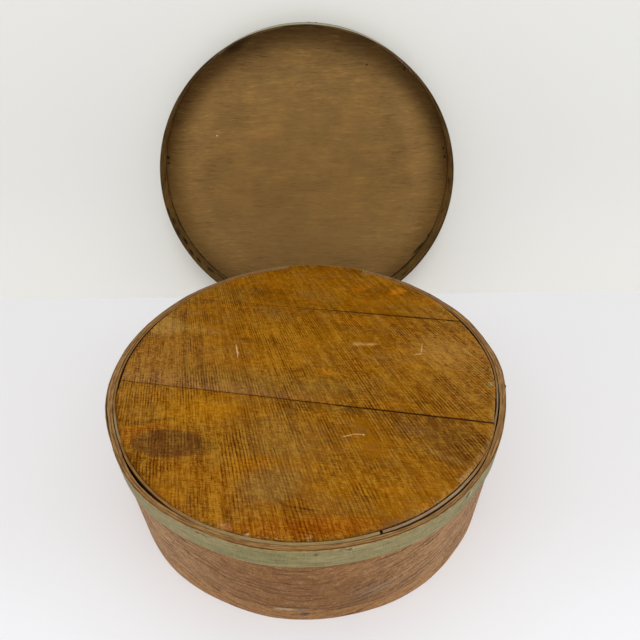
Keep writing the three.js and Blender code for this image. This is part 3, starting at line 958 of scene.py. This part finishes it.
# %% Movement of the strips
def sunk_rim(turn):
    """How far the strips' top edges lie below their full height at one turn."""
    return read_round(turn, sunk_marks) + 0.25 * waver(turn, 0, 6, 1, 1)


def top_share(height):
    """0 below the hoop and 1 near the strips' top edges."""
    return min(1, max(0, height - hoop_bottom) / 22)


def hoop_spring(turn, height, outer):
    """The hoop's movement. Its top edge is worn thin from the inside."""
    return read_round(turn, hoop_out_marks) + (0 if outer else 0.7 * top_share(height))


def wall_spring(turn, height, outer):
    """The wall follows the hoop. Its top follows too, but for a crack at the left."""
    low = read_round(turn, hoop_out_marks)
    crack = max(0, 1 - abs(turn % 360 - 200) / 11)
    top = low + 1.2 - 1.1 * crack if outer else read_round(turn, wall_top_marks)
    return low + (top - low) * top_share(height)


def liner_spring(turn, height, outer):
    """The liner's movement. It is thinner at the right, where the boards press on it."""
    thin = 0 if outer else 0.8 * max(0, 1 - abs(turn % 360 - 340) / 8)
    return read_round(turn, liner_out_marks) + thin


print("the wall's top at the front stands", wall_spring(-90, strip_top, False), "mm out")

# %% [markdown]
# The wall is one wide strip of veneer. Its grain is flat sawn: the growth rings run down
# towards one place at the front from both sides, in a V. So the rings are counted on a
# height that falls away from that place, and clouds stretched along them make the grain.
# The marks are strongest at the right and left, where the wall is seen at a slant. The
# bump leaves that difference out.

# %% Grain of the side wall
wall_seam, wall_lap = 99, 75
wall_radius, wall_thickness = 197.9, 4
wall_material, tree, surface, flat, place = strip_material("wall_veneer", 0.62, 0.15)
from_flame = calc(tree, "SUBTRACT", place["X"], along_strip(-92, wall_seam))
spring = calc(tree, "SQRT", calc(tree, "ADD", calc(tree, "POWER", from_flame, 2), 500))
ring = calc(tree, "SUBTRACT", place["Y"], times(tree, spring, 0.34))
bend = times(tree, cloud(tree, flat, (60, 34, 34), 3, 0.55), 26)
ring = calc(tree, "ADD", ring, bend)
grain = put(tree, "CombineXYZ", place["X"], ring, place["Z"]).outputs[0]
late = calc(tree, "SINE", times(tree, ring, 2 * math.pi / 7.5))
late_here = level(tree, cloud(tree, grain, (50, 12, 12), 4, 0.6), 0.42, 0.58)
late = times(tree, level(tree, late, 0.4, 1.0), late_here)
strokes = crisp(tree, grain, (12, 1.1, 1.1), 4, 0.75)
fine = crisp(tree, grain, (3, 1.0, 1.0), 3, 0.75)
flecks = crisp(tree, flat, (1.8, 1.6, 1.6), 3, 0.75)
scales = crisp(tree, grain, (9, 4, 4), 4, 0.7, 0.35)
blots = cloud(tree, grain, (34, 12, 12), 4, 0.65)
shade = mixed_shade(tree, (strokes, 0.28), (fine, 0.34), (flecks, 0.3), (scales, 0.24), (blots, 0.6),
                    (calc(tree, "SUBTRACT", 0.8, late), 0.4))
relief = shade
from_front = calc(tree, "ABSOLUTE", from_flame)
side = level(tree, from_front, 30, 150)
contrast = times(tree, calc(tree, "ADD", side, 0.9), level(tree, from_front, 190, 290, 1, 0.4))
shade = stronger(tree, shade, contrast)
print("the rings meet", round(along_strip(-92, wall_seam)), "mm along the wall")

# %% [markdown]
# The wall was scuffed by the lid's rim, which left a thin dark line some 25 mm above the
# mouth and paler wood below it. Towards its left and right the wall is painted paler, a
# painted light for the light it catches there, and just below the hoop it is painted
# darker, a painted shade under the hoop. The list gives its stains and scratches: the
# turn, the height and the size of each. Its top edge is bare, with a line between the
# layers of the wood and a painted shade along the hoop, and the gap behind it is painted
# black, a painted shade for its depth.

# %% Wear of the side wall
colour = layer(tree, level(tree, cloud(tree, grain, (50, 20, 20), 4, 0.6), 0.42, 0.6),
               chart(118, 77, 28), chart(124, 79, 36))
# Painted light: the wall is painted paler towards its left and right sides.
colour = layer(tree, times(tree, side, 0.85), colour, chart(149, 108, 69))
worn_from = calc(tree, "MULTIPLY_ADD", cloud(tree, flat, (70, 400, 400), 2), 20, 13)
worn_line = calc(tree, "SUBTRACT", place["Y"], worn_from)
colour = layer(tree, level(tree, worn_line, 0.8, -0.8, 0, 0.75), colour, chart(148, 102, 54))
patches = [
    (-96, 22, 9, 2.4, 6, (176, 160, 130), 0.6, 0.5, 0.5),
    (-92, 20, 4, 5, 0, (120, 104, 82), 0.6, 0.6, 0.5),
    (-91, 13, 4, 4.5, 30, (58, 38, 22), 0.75, 0.5, 0.5),
    (-73, 44, 20, 8, 12, (120, 98, 78), 0.5, 0.7, 0.4),
    (-76, 28, 14, 2, 16, (74, 52, 34), 0.6, 0.6, 0.5),
    (-74, 84, 14, 1.6, 24, (86, 58, 34), 0.5, 0.6, 0.5),
    (-111, 86, 12, 1.6, -26, (92, 62, 38), 0.5, 0.6, 0.5),
]
colour = strip_patches(tree, flat, colour, wall_seam, 197, patches)
colour = use_group(tree, shading, colour, shade, (0.165, 0.11, 0.055, 1))[0]
scratch = level(tree, cloud(tree, grain, (16, 0.8, 0.8), 3, 0.7), 0.6, 0.74, 0, 0.6)
colour = layer(tree, scratch, colour, chart(182, 148, 120))
broken = level(tree, cloud(tree, flat, (26, 8, 8), 3, 0.6), 0.4, 0.56)
crack = level(tree, calc(tree, "ABSOLUTE", worn_line), 0.9, 0.2, 0, 0.85)
colour = layer(tree, times(tree, crack, broken), colour, chart(54, 34, 18))
# Painted shade: the wall is darker just below the hoop's lower edge.
colour = layer(tree, level(tree, place["Y"], 102, 106, 0.0, 0.3), colour, chart(84, 54, 30))
bare_line = cloud(tree, flat, (16, 2, 0.9), 4, 0.75)
bare_wood = layer(tree, level(tree, bare_line, 0.36, 0.64), chart(108, 73, 34), chart(162, 122, 72))
ply_line = away_from(tree, place["Z"], wall_radius - 2.1)
ply_line = times(tree, level(tree, ply_line, 0.5, 0.1, 0, 0.7), level(tree, blots, 0.44, 0.56))
bare_wood = layer(tree, ply_line, bare_wood, chart(66, 42, 22))
# Painted shade: a dark line on the wall's top edge along the hoop, for the gap between them.
hoop_edge_shade = times(tree, level(tree, place["Z"], 197.1, 197.6, 0, 0.6), broken)
bare_wood = layer(tree, hoop_edge_shade, bare_wood, chart(58, 34, 14))
colour = layer(tree, level(tree, place["Y"], 127.8, 128.8), colour, bare_wood)
# Painted shade: the wall's inner face beside the liner is painted black, for the depth of the gap.
crack_shade = level(tree, place["Z"], 194.15, 194, 0, 0.85)
crack_shade = times(tree, crack_shade, level(tree, place["Y"], 106, 112))
colour = layer(tree, crack_shade, colour, chart(32, 20, 10))
coat(tree, surface, colour, relief, 0.0004)
print("finish ready:", wall_material.name)

# %% [markdown]
# The wall is a plain strip, 130 mm wide, bent so that its ends lap at the back. Under the
# hoop it draws in towards the mouth at the front and back and spreads at the sides, so
# the mouth is slightly oval. It bulges here and there by a tenth of a millimetre.

# %% Shape of the side wall
def drawn_in(turn, height):
    """2 mm at the front and back of the mouth, and 0.9 mm outwards at its sides."""
    share = math.sin(math.radians(turn)) ** 2
    return (2 * share - 0.9 * (1 - share)) * max(0, 1 - height / hoop_bottom)


def wall_inside(turn, height):
    return inside(turn) - drawn_in(turn, height) + softened(height, 0, strip_top)


def wall_outside(turn, height):
    bulge = 0.12 * waver(turn, height, 9, 30, 2) if height < hoop_bottom - 1 else 0
    radius = outside(turn) - drawn_in(turn, height) + 0.1 + bulge
    return radius - softened(height, 0, strip_top, 1.2, 0.35)


def wall_height(turn, height):
    return height - sunk_rim(turn) * max(0, height - 100) / 30


stops, inside, outside = lapped(wall_radius, wall_thickness, wall_lap, wall_seam)
heights = [0, 0.5, *spread(0.5, 129, 5)[1:], 129.5, strip_top]
shape = bent_strip(lapped_turns(stops, 1), heights, wall_inside, wall_outside, wall_height, wall_spring)
finish_piece("wall", shape, box_place, wall_material, "box", ["side_wall"])

# %% [markdown]
# The hoop is a narrow strip round the base, brushed with grey-green paint long ago. The
# paint is streaky along the hoop, thin and yellowish at its lower edge, and worn off its
# top edge, where the wood is bare and at the back golden. The list gives the marks that
# the nails and some knocks have left, and one painted highlight: the pale mark beside
# the black cut at a nail at the front right.

# %% Finish of the hoop
hoop_seam, hoop_lap = 66, 60
hoop_radius, hoop_thickness = 200, 1.8
hoop_material, tree, surface, flat, place = strip_material("hoop_paint", 0.55, 0.2)
streak = crisp(tree, flat, (22, 1.4, 1.4), 4, 0.7)
mottle = cloud(tree, flat, (9, 5, 5), 4, 0.7)
brush = crisp(tree, flat, (1.2, 9, 9), 3, 0.7)
shade = mixed_shade(tree, (streak, 0.42), (mottle, 0.8), (brush, 0.2))
paint_tone = cloud(tree, flat, (60, 14, 14), 3, 0.6)
colour = layer(tree, level(tree, paint_tone, 0.4, 0.6), chart(122, 114, 70), chart(138, 126, 84))
patches = [
    (-113.9, 128.2, 5.5, 0.8, -4, (44, 34, 24), 0.9, 0.5, 0.35),
    (-112.2, 126.9, 2.6, 0.7, -20, (54, 42, 30), 0.8, 0.5, 0.35),
    (-87.7, 124, 1.2, 1.5, 10, (54, 44, 26), 0.85, 0.5, 0.3),
    (-80.5, 126.6, 4.4, 2.6, 0, (186, 174, 138), 0.6, 0.5, 0.6),
    (-81, 127.4, 2.2, 0.9, 10, (60, 46, 28), 0.85, 0.5, 0.4),
    (-49.6, 124.6, 1.7, 4.2, -24, (16, 11, 8), 1.0, 0.3, 0.2),
    # Painted highlight: the pale mark right of the black cut stands for light on its edge.
    (-48.2, 122, 1.6, 3.4, -20, (190, 186, 150), 0.7, 0.5, 0.5),
    (-20, 129, 30, 2.4, 0, (70, 64, 34), 0.6, 0.6, 0.4),
]
colour = strip_patches(tree, flat, colour, hoop_seam, 200, patches)
colour = use_group(tree, shading, colour, shade)[0]
fray = calc(tree, "MULTIPLY_ADD", cloud(tree, flat, (14, 5, 5), 4, 0.7), 2.4, -1.2)
edge = calc(tree, "ADD", place["Y"], fray)
colour = layer(tree, level(tree, edge, 107.9, 106.5, 0, 0.6), colour, chart(160, 142, 92))
inner = calc(tree, "ADD", place["Z"], times(tree, fray, 0.5))
bare = times(tree, level(tree, place["Y"], 128.2, 128.8), level(tree, inner, 200.3, 199.7))
bare_wood = layer(tree, level(tree, mottle, 0.4, 0.6), chart(136, 107, 62), chart(162, 136, 92))
colour = layer(tree, bare, colour, bare_wood)
from_front = away_from(tree, place["X"], along_strip(-92, hoop_seam))
worn_back = level(tree, place["Y"], 128.6, 129.4)
worn_back = times(tree, level(tree, from_front, 380, 440, 0, 0.9), worn_back)
colour = layer(tree, worn_back, colour, chart(180, 135, 66))
coat(tree, surface, colour, shade, 0.0003)
print("finish ready:", hoop_material.name)

# %% [markdown]
# The hoop is 24 mm high and thin, and its ends lap at the back. Its lower edge was cut by
# eye and wavers a little, and its top edge is worn down.

# %% Shape of the hoop
def hoop_height(turn, height):
    if height < 112:
        return height + 0.3 + 0.3 * waver(turn, 0, 5, 1, 3)
    return height - (sunk_rim(turn) + 0.15 * waver(turn, 0, 2, 1, 5)) * max(0, height - 120) / 10


stops, inside, outside = lapped(hoop_radius, hoop_thickness, hoop_lap, hoop_seam)
heights = [hoop_bottom, 106.4, *spread(106.4, 128.8, 3)[1:], 129.4, strip_top]
shape = bent_strip(
    lapped_turns(stops, 0.8), heights,
    lambda turn, height: inside(turn) + softened(height, hoop_bottom, strip_top, 1.2, 0.5),
    lambda turn, height: outside(turn) - 0.1 - softened(height, hoop_bottom, strip_top, 0.4, 0.3),
    hoop_height, hoop_spring)
finish_piece("hoop", shape, box_place, hoop_material, "box", ["base_hoop"])

# %% [markdown]
# The liner is a thinner strip between the boards and the wall. Only its top edge shows,
# with gaps beside it where the wall has sprung outwards, and its faces in the gaps are
# painted black, a painted shade for the depth of the gaps. Some of the hoop's paint ran
# onto its top edge.

# %% Finish of the liner
liner_seam = -73
liner_material, tree, surface, flat, place = strip_material("liner_wood", 0.7, 0.2)
fine = crisp(tree, flat, (12, 1.5, 0.6), 3, 0.7, 0.3)
blots = cloud(tree, flat, (18, 6, 6), 4, 0.65)
colour = layer(tree, level(tree, blots, 0.4, 0.62), chart(146, 103, 50), chart(124, 84, 36))
around = [(-92, 26, (146, 128, 88), 0.85), (-59, 14, (150, 126, 98), 0.9), (-18, 9, (138, 116, 84), 0.8),
          (-155, 5, (150, 138, 104), 0.6)]
colour = strip_patches(tree, flat, colour, liner_seam, 192, [
    (turn, strip_top, math.radians(width) * unrolled_radius, 20, 0, tint, amount, 0.4, 0.2)
    for turn, width, tint, amount in around])
shade = mixed_shade(tree, (fine, 0.5), (blots, 0.5))
colour = use_group(tree, shading, colour, shade)[0]
# Painted shade: the liner's faces inside the gaps are painted black, except at the front.
liner_gap_shade = calc(tree, "MAXIMUM", level(tree, place["Z"], 191.8, 191.5), level(tree, place["Z"], 193.45, 193.6))
at_front = away_from(tree, place["X"], along_strip(-98, liner_seam))
liner_gap_shade = times(tree, liner_gap_shade, level(tree, at_front, 70, 100, 0, 0.85))
colour = layer(tree, liner_gap_shade, colour, chart(34, 21, 10))
coat(tree, surface, colour, fine, 0.0002)
print("finish ready:", liner_material.name)

# %% [markdown]
# The liner's ends don't lap. They stand 2.5 mm apart at the front, a little to the right,
# so the strip stops short of a full turn by half of that gap at each end.

# %% Shape of the liner
liner_bottom, liner_gap = 110, 2.5


def liner_worn(height):
    return softened(height, liner_bottom, strip_top, 0.5, 0.2)


half_gap = math.degrees(liner_gap / 2 / liner_outer)
shape = bent_strip(
    spread(liner_seam + half_gap, liner_seam + 360 - half_gap, 0.8),
    [liner_bottom, 110.5, 114, 118, 122, 126, 129.6, strip_top],
    lambda turn, height: liner_inner + 0.12 * waver(turn, 0, 5, 1, 7) + liner_worn(height),
    lambda turn, height: liner_outer + 0.12 * waver(turn, 0, 5, 1, 8) - liner_worn(height),
    lambda turn, height: height - (sunk_rim(turn) + 0.15) * max(0, height - 120) / 10, liner_spring)
finish_piece("liner", shape, box_place, liner_material, "box", ["base_liner"])

# %% [markdown]
# The lid is a round panel, smooth and dull, in a rim that stands up round it. The panel's
# fine grain runs from side to side. It is painted paler low down, a painted light, and in
# a faint ring that is partly paler wood and partly a painted light beside the rim's
# shadow. Next to the rim, most at the top, it is painted darker, a painted shadow of the
# rim. The list gives its small marks.

# %% Finish of the lid's panel
panel_material, tree, surface = new_material("lid_panel_wood", 0.6, 0.15)
where = lid_millimetres(tree)
ripple = times(tree, cloud(tree, where, (40, 20, 20), 3, 0.6), 14)
ripple = put(tree, "CombineXYZ", 0, ripple, 0).outputs[0]
rippled = put(tree, "VectorMath", where, ripple, operation="ADD").outputs[0]
fine = crisp(tree, rippled, (16, 1.3, 1.3), 3, 0.75)
ridges = crisp(tree, rippled, (60, 4, 4), 4, 0.65, 0.35)
bands = cloud(tree, where, (130, 12, 12), 4, 0.65, 0.4)
clouds = cloud(tree, where, (46, 34, 34), 5, 0.62)
dabs = cloud(tree, where, (22, 8, 8), 5, 0.7)
colour = layer(tree, level(tree, clouds, 0.42, 0.6), chart(124, 94, 49), chart(130, 97, 50))
colour = layer(tree, level(tree, dabs, 0.56, 0.7, 0, 0.4), colour, chart(142, 108, 60))
from_middle = calc(tree, "ADD", put(tree, "VectorMath", where, operation="LENGTH").outputs["Value"],
                   times(tree, clouds, 16))
panel_place = put(tree, "SeparateXYZ", where).outputs
# Painted light: the panel is painted paler towards its low end.
colour = layer(tree, level(tree, panel_place["Y"], 20, -130, 0, 0.7), colour, chart(148, 114, 66))
# Partly painted light: a paler ring, partly the wood's own and partly the light beside the rim's shadow.
halo = times(tree, level(tree, from_middle, 146, 166), level(tree, from_middle, 190, 176))
halo = times(tree, halo, level(tree, calc(tree, "ABSOLUTE", panel_place["X"]), 60, 140, 0, 0.5))
colour = layer(tree, halo, colour, chart(144, 110, 62))
# Painted shadow: the panel darkens next to the rim, most at the top, as the rim's shadow.
rim_shadow_paint = level(tree, from_middle, 182, 202, 0, 0.55)
rim_shadow_paint = times(tree, rim_shadow_paint, level(tree, panel_place["Y"], -60, 120, 0.3, 1))
colour = layer(tree, rim_shadow_paint, colour, chart(86, 58, 24))
shade = mixed_shade(tree, (fine, 0.24), (ridges, 0.12), (bands, 0.24), (clouds, 0.3))
contrast = level(tree, from_middle, 90, 170, 1, 1.4)
shade = stronger(tree, shade, contrast)
patches = [
    (-121, 72.6, 1.2, 0.9, 0, (214, 196, 160), 0.8, 0.4, 0.1),
    (77.9, 156, 1.6, 1.2, 0, (44, 30, 14), 0.8, 0.4, 0.3),
    (-66, 75, 30, 8, 6, (150, 110, 58), 0.4, 0.7, 0.5),
    (-192.8, 44.5, 2.2, 2.8, 0, (24, 16, 8), 0.9, 0.4, 0.2),
    (-193.6, 36.5, 2.4, 2.2, 0, (24, 16, 8), 0.9, 0.4, 0.2),
    (-84, 178, 16, 4, 26, (44, 30, 14), 0.6, 0.6, 0.4),
    (192, 41, 1.6, 1.8, 0, (24, 16, 8), 0.9, 0.4, 0.2),
    (188.7, 52.6, 1.4, 1.6, 0, (24, 16, 8), 0.9, 0.4, 0.2),
    (183.3, -78.3, 1.6, 2, 0, (18, 12, 6), 0.9, 0.4, 0.3),
    (181.4, -89, 2, 2.4, 0, (18, 12, 6), 0.9, 0.4, 0.4),
    (170, -100, 14, 1.4, 55, (18, 12, 6), 0.9, 0.4, 0.3),
    (125.6, 150.7, 1.8, 2, 0, (20, 12, 6), 0.8, 0.4, 0.3),
]
colour = lay_patches(tree, where, colour, patches, 8)
colour = use_group(tree, shading, colour, shade)[0]
coat(tree, surface, colour, fine, 0.0001)
print("finish ready:", panel_material.name)

# %% [markdown]
# The panel is a disc: a circle lifted to its thickness, with both round edges eased by a
# small bevel. It is too smooth to need relief of its own, so the bump is enough.

# %% Shape of the lid's panel
panel_radius, panel_thickness = 199.6, 8
shape = bmesh.new()
bmesh.ops.create_circle(shape, cap_ends=True, segments=240, radius=panel_radius)
lifted = bmesh.ops.extrude_face_region(shape, geom=shape.faces[:])
bmesh.ops.translate(shape, verts=new_corners(lifted), vec=(0, 0, panel_thickness))
rim_edges = [edge for edge in shape.edges if abs(edge.verts[0].co.z - edge.verts[1].co.z) < 0.1]
bmesh.ops.bevel(shape, geom=rim_edges, offset=0.5, offset_type="OFFSET", affect="EDGES", segments=2,
                profile=0.5, material=-1)
finish_piece("lid_board", shape, lid_place, panel_material, "lid", ["lid_panel"])

# %% [markdown]
# The rim is a strip with lapped ends, like the hoop. It is brown and dark inside, with a
# row of blotches low at the left, and painted black where it meets the panel, a painted
# shade in that corner. Its front edge is bare, and some green paint is left on its
# outside, painted paler than the hoop's green: partly its own colour and partly a painted
# light for the light on it. Each blotch in the list is a turn and a height, with half its
# length and half its width.

# %% Finish of the lid's rim
rim_seam, rim_lap = -78, 60
rim_radius, rim_thickness, rim_height = 202.1, 2.2, 35
rim_material, tree, surface, flat, place = strip_material("lid_rim_wood", 0.62, 0.15)
streak = crisp(tree, flat, (30, 2, 2), 4, 0.65, 0.3)
blots = cloud(tree, flat, (14, 9, 9), 4, 0.65)
colour = layer(tree, level(tree, blots, 0.4, 0.62), chart(142, 108, 58), chart(108, 81, 40))
stains = cloud(tree, flat, (20, 9, 9), 5, 0.7)
colour = layer(tree, level(tree, stains, 0.54, 0.62, 0, 0.8), colour, chart(34, 24, 14))
blotches = [(187, 32, 6, 2.5), (192, 27, 5, 5), (196.5, 29, 6, 5), (202, 24, 6, 5), (207, 29, 6, 4),
            (212, 26, 5, 4), (219, 21, 8, 3), (226, 15, 10, 3), (-22, 9, 10, 2), (-30, 9.3, 18, 2),
            (-38, 9.5, 18, 2.2), (-46, 9.3, 16, 2), (-42, 28, 6, 2), (188, 9, 14, 1.5), (196, 9.2, 14, 1.6),
            (204, 9, 14, 1.6), (212, 9.2, 14, 1.6), (220, 9, 14, 1.6), (227, 9, 12, 1.6)]
for turn, colour_there in ((212, chart(74, 57, 33)), (-37, chart(64, 49, 27))):
    along = away_from(tree, place["X"], along_strip(turn, rim_seam))
    colour = layer(tree, level(tree, along, 90, 50, 0, 0.5), colour, colour_there)
colour = strip_patches(tree, flat, colour, rim_seam, 200, [
    (turn, height, half_length, half_width, 0, (26, 20, 13), 0.9, 0.4, 0.4)
    for turn, height, half_length, half_width in blotches])
shade = mixed_shade(tree, (streak, 0.55), (blots, 0.9))
colour = use_group(tree, shading, colour, shade)[0]
lit = level(tree, streak, 0.2, 0.8)
edge_wood = layer(tree, lit, chart(44, 31, 15), chart(90, 68, 38))
colour = layer(tree, level(tree, place["Y"], 34.3, 34.8), colour, edge_wood)
# Partly painted light: the outside's green paint is paler than the hoop's, for the light it catches.
paint = layer(tree, level(tree, blots, 0.35, 0.65), chart(158, 152, 122), chart(132, 124, 92))
paint = use_group(tree, shading, paint, shade)[0]
colour = layer(tree, level(tree, place["Z"], 201.7, 201.95), colour, paint)
# Painted shade: the rim's inner face is painted black just above the panel, in the corner.
colour = layer(tree, level(tree, place["Y"], 9.4, 8.4, 0, 0.5), colour, chart(22, 14, 8))
coat(tree, surface, colour, shade, 0.0003)
print("finish ready:", rim_material.name)

# %% [markdown]
# The lid's rim has kept its round shape, unlike the strips of the box, so it needs no
# list of movements. Its edges are worn, and its ends lap at the foot of the lid, out of
# sight.

# %% Shape of the lid's rim
stops, inside, outside = lapped(rim_radius, rim_thickness, rim_lap, rim_seam)
shape = bent_strip(
    lapped_turns(stops, 1), [0, 0.4, *spread(0.4, 34.6, 4)[1:], rim_height],
    lambda turn, height: inside(turn) + softened(height, 0, rim_height, 0.4, 0.25),
    lambda turn, height: outside(turn) - softened(height, 0, rim_height, 0.4, 0.25) - 0.03)
finish_piece("lid_side", shape, lid_place, rim_material, "lid", ["lid_rim"])

# %% [markdown]
# Nails hold the strips to the boards, and tacks hold the laps of the wall and the rim. A
# cone and a cylinder would do from afar, but a nail's worn head shows. So a nail is a
# short outline spun round its own length: a low round head, a shank and a point. A tack's
# point comes through and is bent over, or clinched, on the inside. Corners that are
# tagged belong to nails already in place.

# %% Iron and the shape of a nail
nail_length, nail_head, nail_shank, nail_point = 25, 1.8, 0.9, 3


def iron_finish(name, head_colour, rust_amount):
    material, tree, surface = new_material(name, 0.7, 0.3)
    where = put(tree, "TexCoord").outputs["Object"]
    where = placed(tree, where, scale=(1000, 1000, 1000))
    rust = cloud(tree, where, (1.2, 1.2, 1.2), 4, 0.7)
    colour = layer(tree, level(tree, rust, 0.4, 0.6, 0, rust_amount), chart(*head_colour), chart(96, 62, 36))
    feed(tree, surface.inputs["Roughness"], level(tree, rust, 0.3, 0.7, 0.55, 0.85))
    coat(tree, surface, colour, rust, 0.0002)
    return material


def add_nail(shape, radius, turn, height, length, head, rise, shank, clinch=0):
    """Spins a nail about its own length and sets it on a radius, pointing to the axis."""
    outline = [(0, rise), (head * 0.55, rise * 0.86), (head * 0.9, rise * 0.4), (head, 0), (shank, -0.3),
               (shank, nail_point - length), (0, -length)]
    if clinch:
        outline = outline[:5] + [(shank, -length), (0, -length - shank)]
    corners = [shape.verts.new((across, 0, along)) for across, along in outline]
    edges = [shape.edges.new(pair) for pair in zip(corners, corners[1:])]
    bmesh.ops.spin(shape, geom=corners + edges, axis=(0, 0, 1), cent=(0, 0, 0), dvec=(0, 0, 0),
                   angle=2 * math.pi, steps=12, use_merge=True, use_duplicate=False)
    near = [corner for corner in shape.verts if not corner.tag]
    bmesh.ops.remove_doubles(shape, verts=near, dist=0.001)
    near = [corner for corner in shape.verts if not corner.tag]
    if clinch:
        leg = bmesh.ops.create_cone(shape, cap_ends=True, segments=8, radius1=shank, radius2=shank * 0.4,
                                    depth=clinch)["verts"]
        lay = Matrix.Translation((0, -clinch / 2, -length)) @ Matrix.Rotation(math.pi / 2, 4, "X")
        bmesh.ops.transform(shape, matrix=lay, verts=leg)
        near += leg
    angle = math.radians(turn)
    seat = Vector((radius * math.cos(angle), radius * math.sin(angle), height))
    pointing_in = Matrix.Rotation(angle, 4, "Z") @ Matrix.Rotation(math.pi / 2, 4, "Y")
    bmesh.ops.transform(shape, matrix=Matrix.Translation(seat) @ pointing_in, verts=near)
    for corner in near:
        corner.tag = True


print("a nail head is", 2 * nail_head, "mm across")

# %% [markdown]
# The base nails go through the hoop and the wall into the boards. Each has its turn, and
# how far down the boards' edge it goes, from 0 at the top to 1. Most heads are flush with
# the paint, but one at the right stands out. Five tacks in a row hold the wall's lap.

# %% Nails and tacks of the box
base_nails = [(-148, 0.5), (-114, 0.42), (-87.7, 0.6), (-80.5, 0.42), (-49.2, 0.6), (-10, 0.5), (8, 0.46),
              (34, 0.55), (60, 0.4), (90, 0.62), (113, 0.5), (131, 0.58), (158, 0.44), (-169, 0.5),
              (70.5, 0.5), (79, 0.42)]
board_thickness = board_top - board_bottom
shape = bmesh.new()
for turn, depth in base_nails:
    raised_by = 0.9 if turn == -10 else -0.1
    seat = hoop_radius + read_round(turn, hoop_out_marks) + raised_by
    height = board_top - board_thickness * depth
    add_nail(shape, seat, turn, height, nail_length, nail_head, rise=0.4, shank=nail_shank)
painted_iron = iron_finish("painted_nail_heads", (104, 96, 62), 0.6)
finish_piece("base_nails", shape, box_place, painted_iron, "box",
             [f"base_nail_{index:02d}" for index in range(1, 17)])

shape = bmesh.new()
for share in (0.1, 0.3, 0.5, 0.7, 0.9):
    turn, height = wall_seam + math.degrees(wall_lap / wall_radius / 2), hoop_bottom * share
    seat = wall_radius - drawn_in(turn, height) + 0.2
    add_nail(shape, seat, turn, height, length=4.7, head=2.4, rise=0.5, shank=0.75, clinch=5)
rusty_iron = iron_finish("rusty_tacks", (62, 50, 42), 0.7)
finish_piece("wall_tacks", shape, box_place, rusty_iron, "box",
             [f"wall_tack_{index:02d}" for index in range(1, 6)])

# %% [markdown]
# The lid's nails go in pairs, 9 mm apart, through the rim into the edge of the panel. Two
# tacks hold the rim's lap.

# %% Nails and tacks of the lid
rim_seat, rim_lap_middle = rim_radius - 0.05, -69.5
shape = bmesh.new()
for turn in (13.8, 50, 87, 124, 168.5, 206, 243, 300, 335.4):
    for side in (-4.5, 4.5):
        turn_there = turn + math.degrees(side / rim_radius)
        add_nail(shape, rim_seat, turn_there, panel_thickness / 2, nail_length, head=2.0, rise=0.5,
                 shank=nail_shank)
finish_piece("lid_nails", shape, lid_place, rusty_iron, "lid",
             [f"lid_nail_{index:02d}" for index in range(1, 19)])

shape = bmesh.new()
for side in (-13, 13):
    turn_there = rim_lap_middle + math.degrees(side / rim_radius)
    add_nail(shape, rim_seat, turn_there, 21.5, length=2.8, head=2.2, rise=0.5, shank=0.75, clinch=5)
finish_piece("lid_tacks", shape, lid_place, rusty_iron, "lid", ["rim_tack_01", "rim_tack_02"])
